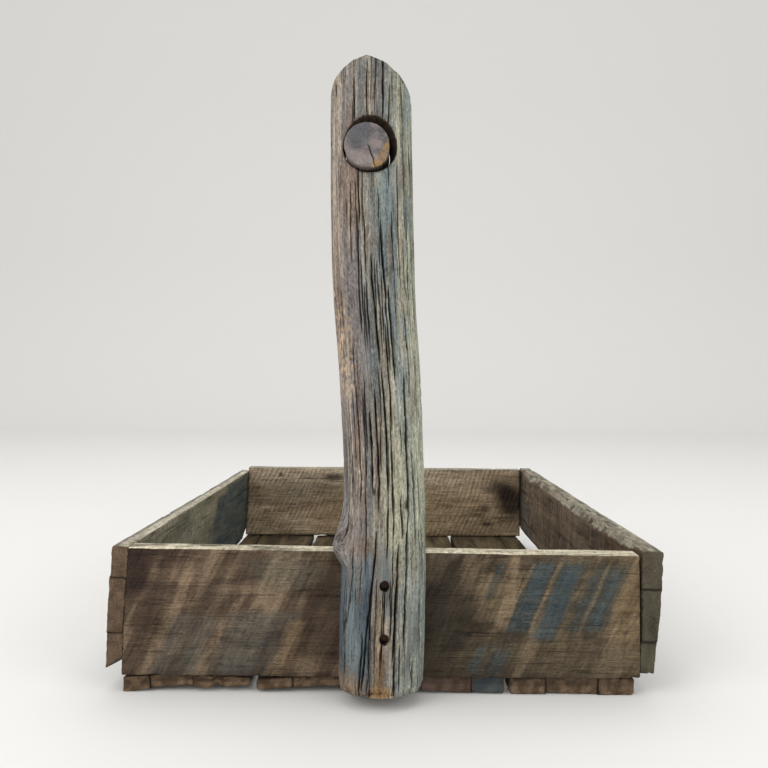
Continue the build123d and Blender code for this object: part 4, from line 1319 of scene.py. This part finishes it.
# ---------------------------------------------------------------- carrying pole
def make_pole():
    lo, hi = (np.array(v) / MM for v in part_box("carrying_pole"))
    radius = (hi[2] - lo[2]) / 2
    cx, cz = pole_axis[0], pole_axis[2]
    sides, rows = 150, 250
    angle = np.arange(sides) / sides * 2 * np.pi
    bevel_at = math.radians(-32.0)

    def front_cut(r, angle):
        """How far the hewn bevel takes the front end back."""
        return np.clip(r * np.cos(angle - bevel_at) - (radius - 7.0), 0, None)

    length = hi[1] - lo[1]
    grid, caps = [], []
    cap_r = np.array([0.0, 0.12, 0.24, 0.36, 0.47, 0.57, 0.66, 0.74, 0.81, 0.87, 0.92, 0.96])
    for f in cap_r:
        r = (radius - 1.5) * f * np.ones(sides)
        y = lo[1] + front_cut(r, angle)
        caps.append((r, y, 0))
    for back in (0.0, 0.4, 0.9):
        r = radius - 1.5 + math.sqrt(max(0, 1.5**2 - (1.5 - back) ** 2)) * np.ones(sides)
        caps.append((r, lo[1] + back + front_cut(r, angle), 0))
    ys = places(length - 3.0, 2.4)
    for y in ys:
        start = front_cut(radius * np.ones(sides), angle)
        at = lo[1] + 1.5 + y + start * (1 - y / (length - 3.0))
        caps.append((radius * np.ones(sides), at, 1))
    for back in (0.9, 0.4, 0.0):
        r = radius - 1.5 + math.sqrt(max(0, 1.5**2 - (1.5 - back) ** 2)) * np.ones(sides)
        caps.append((r, hi[1] - back * np.ones(sides), 2))
    for f in cap_r[::-1]:
        caps.append(((radius - 1.5) * f * np.ones(sides), hi[1] * np.ones(sides), 2))
    k = len(caps)
    r = np.array([c[0] for c in caps])
    y = np.array([c[1] for c in caps])
    kind = np.repeat([c[2] for c in caps], sides)
    grown = np.tile(angle, (k, 1))
    points = np.stack([cx + r * np.cos(grown), y, cz + r * np.sin(grown)], -1).reshape(-1, 3)
    i, j = np.meshgrid(np.arange(k - 1), np.arange(sides), indexing="ij")
    jn = (j + 1) % sides
    quads = np.stack([i * sides + j, i * sides + jn, (i + 1) * sides + jn, (i + 1) * sides + j], -1).reshape(-1, 4)
    remap = np.arange(len(points))
    remap[:sides] = 0
    remap[-sides:] = (k - 1) * sides
    quads = remap[quads]
    tri_rows = (quads[:, 0] == quads[:, 1]) | (quads[:, 2] == quads[:, 3])
    tris = quads[tri_rows]
    tris = np.where((tris[:, 0] == tris[:, 1])[:, None], tris[:, [0, 2, 3]], tris[:, [0, 1, 2]])
    quads = quads[~tri_rows]
    used, inverse = np.unique(np.concatenate([quads.ravel(), tris.ravel()]), return_inverse=True)
    inverse = inverse.ravel()
    quads, tris = inverse[: quads.size].reshape(-1, 4), inverse[quads.size:].reshape(-1, 3)
    points, kind = points[used], kind[used]
    around = np.tile(angle, k)[used]
    reach = r.reshape(-1)[used]
    quads, tris = outward(points, quads, tris)
    normal = normals_of(points, quads, tris)
    along = points[:, 1]
    ax, az = np.cos(around), np.sin(around)
    # Shaved by hand, so never quite round, and worn thinner in the middle.
    free = 1 - 0.8 * step(300, 276, np.abs(along)) * step(240, 270, np.abs(along))
    h = -0.55 * layered(along / 70, ax * 2.2, az * 2.2, 81, 3) * free
    h -= 0.5 * step(0.55, 0.75, layered(along / 40, ax * 3, az * 3, 82, 2)) * free
    h -= 0.9 * np.exp(-((along / 190) ** 2))
    for m, (at, low, high, wide, deep) in enumerate(((1.1, -150, 120, 0.05, 2.0), (2.6, -260, -60, 0.045, 1.6), (4.6, 10, 280, 0.05, 2.2), (5.6, -321, -240, 0.05, 2.4), (3.6, 120, 321, 0.04, 1.6))):
        off = np.abs((around - at - 0.10 * (layered(along / 60, m, 0, 83) - 0.5) + np.pi) % (2 * np.pi) - np.pi)
        taper = np.clip((along - low) / 30, 0, 1) * np.clip((high - along) / 30, 0, 1)
        h -= deep * np.clip(1 - off / wide, 0, 1) * taper
    end_face = kind != 1
    ring = 0.25 * np.sin(reach * 2 * np.pi / 2.3 + 3 * layered(ax * 2, az * 2, 0, 84))
    h = np.where(end_face, -0.3 + ring * 0.6 + 0.9 * (layered(points[:, 0] / 3, points[:, 2] / 3, 0, 85) - 0.5), h)
    x, z = points[:, 0] - cx, points[:, 2] - cz
    # The check across the front end, from the middle down to its edge.
    line_x = 1.5 + 0.35 * (-z) + 1.0 * (noise(z / 4, 0, 0, 86) - 0.5)
    check = np.clip(1 - np.abs(x - line_x) / 0.8, 0, 1) * step(3.0, -2.0, z) * (kind == 0)
    h = h - 2.5 * check
    points = points + normal * h[:, None]
    obj = mesh_object("carrying_pole", points, quads, tris)
    bevel = (kind == 0) * step(-0.6, 0.8, reach * np.cos(around - bevel_at) - (radius - 7.0))
    base = {"l": along, "w": around * radius, "t": reach}
    tone = mottled(base, rgb(138, 128, 116), rgb(104, 94, 84), 87, 120, 9)
    tone = tinted(tone, rgb(150, 134, 112), np.exp(-((along / 150) ** 2)) * 0.6)
    near_posts = step(270, 284, np.abs(along))
    tone = tinted(tone, rgb(92, 84, 76), near_posts * 0.6)
    face = mottled({"l": x, "w": z, "t": z}, rgb(132, 122, 120), rgb(92, 90, 92), 88, 9, 9)
    face = tinted(face, rgb(84, 86, 90), patch(x, z, -9, 7, 9, 11, 0.6) * 0.85)
    face = tinted(face, rgb(152, 140, 134), patch(x, z, -3, -13, 12, 7, 0.6) * 0.7)
    tone = tinted(tone, face, end_face.astype(float))
    worn = 0.5 + 0.5 * step(0.35, 0.6, layered(x / 5, z / 5, 0, 89, 3))
    tone = tinted(tone, rgb(164, 132, 84), bevel * 0.9 * worn)
    # The check in the front end is darkened: painted shade inside it.
    look = {"tone": tone, "paint": np.zeros(len(x)), "dirt": np.maximum(check * 0.9, 0.0), "ends": end_face * 0.6 * (1 - bevel)}
    # The rounded rim of the front end is darkened a little.
    outer = step(0.965, 0.99, reach / radius) * (kind == 0) * (1 - bevel)
    look["dirt"] = np.maximum(look["dirt"], outer * 0.3)
    across = np.where(end_face, x + 50, around * radius)
    look["grain"] = np.stack([np.where(end_face, 0, along) + 5000, across, np.where(end_face, z, 0.0)], 1) * MM
    return dress(obj, look, pole_wood, "carrying_pole", "pole", 40)


make_pole()


# ---------------------------------------------------------------- nails and spikes
def make_nails(name, seed):
    """The nails of one node: a slightly uneven hammered head on a tapering shank."""
    sides = 26
    angle = np.arange(sides) / sides * 2 * np.pi
    points, quads, tris = [], [], []
    for n, (head, axis, length, head_radius, shank) in enumerate(nails_of(name)):
        thick = 1.2 if head_radius < 4 else 2.0
        profile = [
            (0.35 * head_radius, -0.05),
            (0.7 * head_radius, -0.12),
            (0.92 * head_radius, -0.28),
            (head_radius, -0.5 * thick),
            (0.9 * head_radius, -thick),
            (1.25 * shank, -thick - 0.25),
            (shank, -thick - 1.2),
            (shank, -0.4 * length),
            (0.97 * shank, 4.0 - length),
            (0.5 * shank, 1.6 - length),
        ]
        up = np.array([0.0, 0, 1]) if abs(axis[2]) < 0.9 else np.array([0.0, 1, 0])
        side = np.cross(axis, up)
        side /= np.linalg.norm(side)
        up = np.cross(side, axis)
        start = len(points)
        points.append(head - axis * 0.05)
        for k, (r, down) in enumerate(profile):
            bumps = 1 - 0.07 * noise(np.cos(angle) * 2 + n * 3, np.sin(angle) * 2, k * 0.4, seed) if k < 5 else 1.0
            sunk = 0.25 * noise(np.cos(angle) + n, np.sin(angle), k, seed + 1) if k < 3 else 0.0
            loop = head + np.outer(np.cos(angle) * r * bumps, side) + np.outer(np.sin(angle) * r * bumps, up)
            points.extend(loop + np.outer(down - sunk + np.zeros(sides), axis))
        tip = len(points)
        points.append(head - axis * length)
        for i in range(sides):
            j = (i + 1) % sides
            tris.append([start, start + 1 + i, start + 1 + j])
            for k in range(len(profile) - 1):
                a, b = start + 1 + k * sides, start + 1 + (k + 1) * sides
                quads.append([a + i, b + i, b + j, a + j])
            last = start + 1 + (len(profile) - 1) * sides
            tris.append([tip, last + j, last + i])
    obj = mesh_object(name, np.array(points), np.array(quads), np.array(tris))
    dress(obj, {}, rusty_iron, name, "tray", 40)


nail_nodes = ["front_post_spikes", "rear_post_spikes"]
nail_nodes += [f"{side}_side_{end}_nails" for side in ("left", "right") for end in ("front", "rear")]
nail_nodes += [f"floor_board_{k}_nails" for k in (1, 2, 3, 4)]
for k, name in enumerate(nail_nodes):
    make_nails(name, 200 + k)


# ---------------------------------------------------------------- studio
def studio():
    """A plain pale sweep under and behind the tray, soft light from all round and a little more from both sides."""
    profile = [(-3.0, 0.0)] + [(y, 0.0) for y in np.linspace(-2.0, 2.6, 24)]
    for a in np.linspace(0, math.pi / 2, 16)[1:]:
        profile.append((2.6 + 1.2 * math.sin(a), 1.2 - 1.2 * math.cos(a)))
    profile += [(3.8, z) for z in np.linspace(1.5, 5.0, 10)]
    verts, faces = [], []
    for y, z in profile:
        verts += [(-7.0, y, z - 0.0002), (7.0, y, z - 0.0002)]
    for k in range(len(profile) - 1):
        faces.append((2 * k, 2 * k + 1, 2 * k + 3, 2 * k + 2))
    mesh = bpy.data.meshes.new("sweep")
    mesh.from_pydata(verts, [], faces)
    mesh.shade_smooth()
    sweep = bpy.data.objects.new("sweep", mesh)
    bpy.context.scene.collection.objects.link(sweep)
    material = bpy.data.materials.new("sweep")
    material.use_nodes = True
    tree = material.node_tree
    tree.nodes.clear()
    plain = {"Base Color": FLOOR_COLOUR, "Roughness": 0.9, "Specular IOR Level": 0.1}
    shader = node(tree, "ShaderNodeBsdfPrincipled", plain)
    node(tree, "ShaderNodeOutputMaterial", {"Surface": shader.outputs[0]})
    mesh.materials.append(material)

    world = bpy.data.worlds.new("studio")
    bpy.context.scene.world = world
    world.use_nodes = True
    world.node_tree.nodes["Background"].inputs[0].default_value = (1.0, 0.995, 0.985, 1)
    world.node_tree.nodes["Background"].inputs[1].default_value = WORLD
    for name, at, aim, wide, power in LAMPS:
        data = bpy.data.lights.new(name, "AREA")
        data.shape = "RECTANGLE"
        data.size, data.size_y = wide
        data.energy = power
        lamp = bpy.data.objects.new(name, data)
        lamp.location = at
        lamp.rotation_euler = (Vector(aim) - Vector(at)).to_track_quat("-Z", "Y").to_euler()
        bpy.context.scene.collection.objects.link(lamp)


FLOOR_COLOUR = (0.80, 0.795, 0.78, 1)
WORLD = 0.82
LAMPS = (
    ("key", (-1.9, -1.6, 1.9), (0, -0.1, 0.25), (1.6, 1.6), 26),
    ("fill", (2.2, -1.5, 1.3), (0, -0.1, 0.25), (1.6, 1.6), 16),
    ("top", (0.0, 0.2, 2.6), (0, 0, 0), (1.8, 1.8), 14),
)
studio()

scene = bpy.context.scene
scene.view_settings.view_transform = "Standard"
camera_data = bpy.data.cameras.new("camera")
camera_data.sensor_width = 36.0
camera_data.lens = 30.0
camera_data.shift_x = -0.0013
camera_data.shift_y = -0.0091
camera = bpy.data.objects.new("camera", camera_data)
camera.location = (-0.001, y_front * MM - 0.608, 0.3018)
camera.rotation_euler = (math.radians(90), math.radians(-0.45), 0)
scene.collection.objects.link(camera)
scene.camera = camera
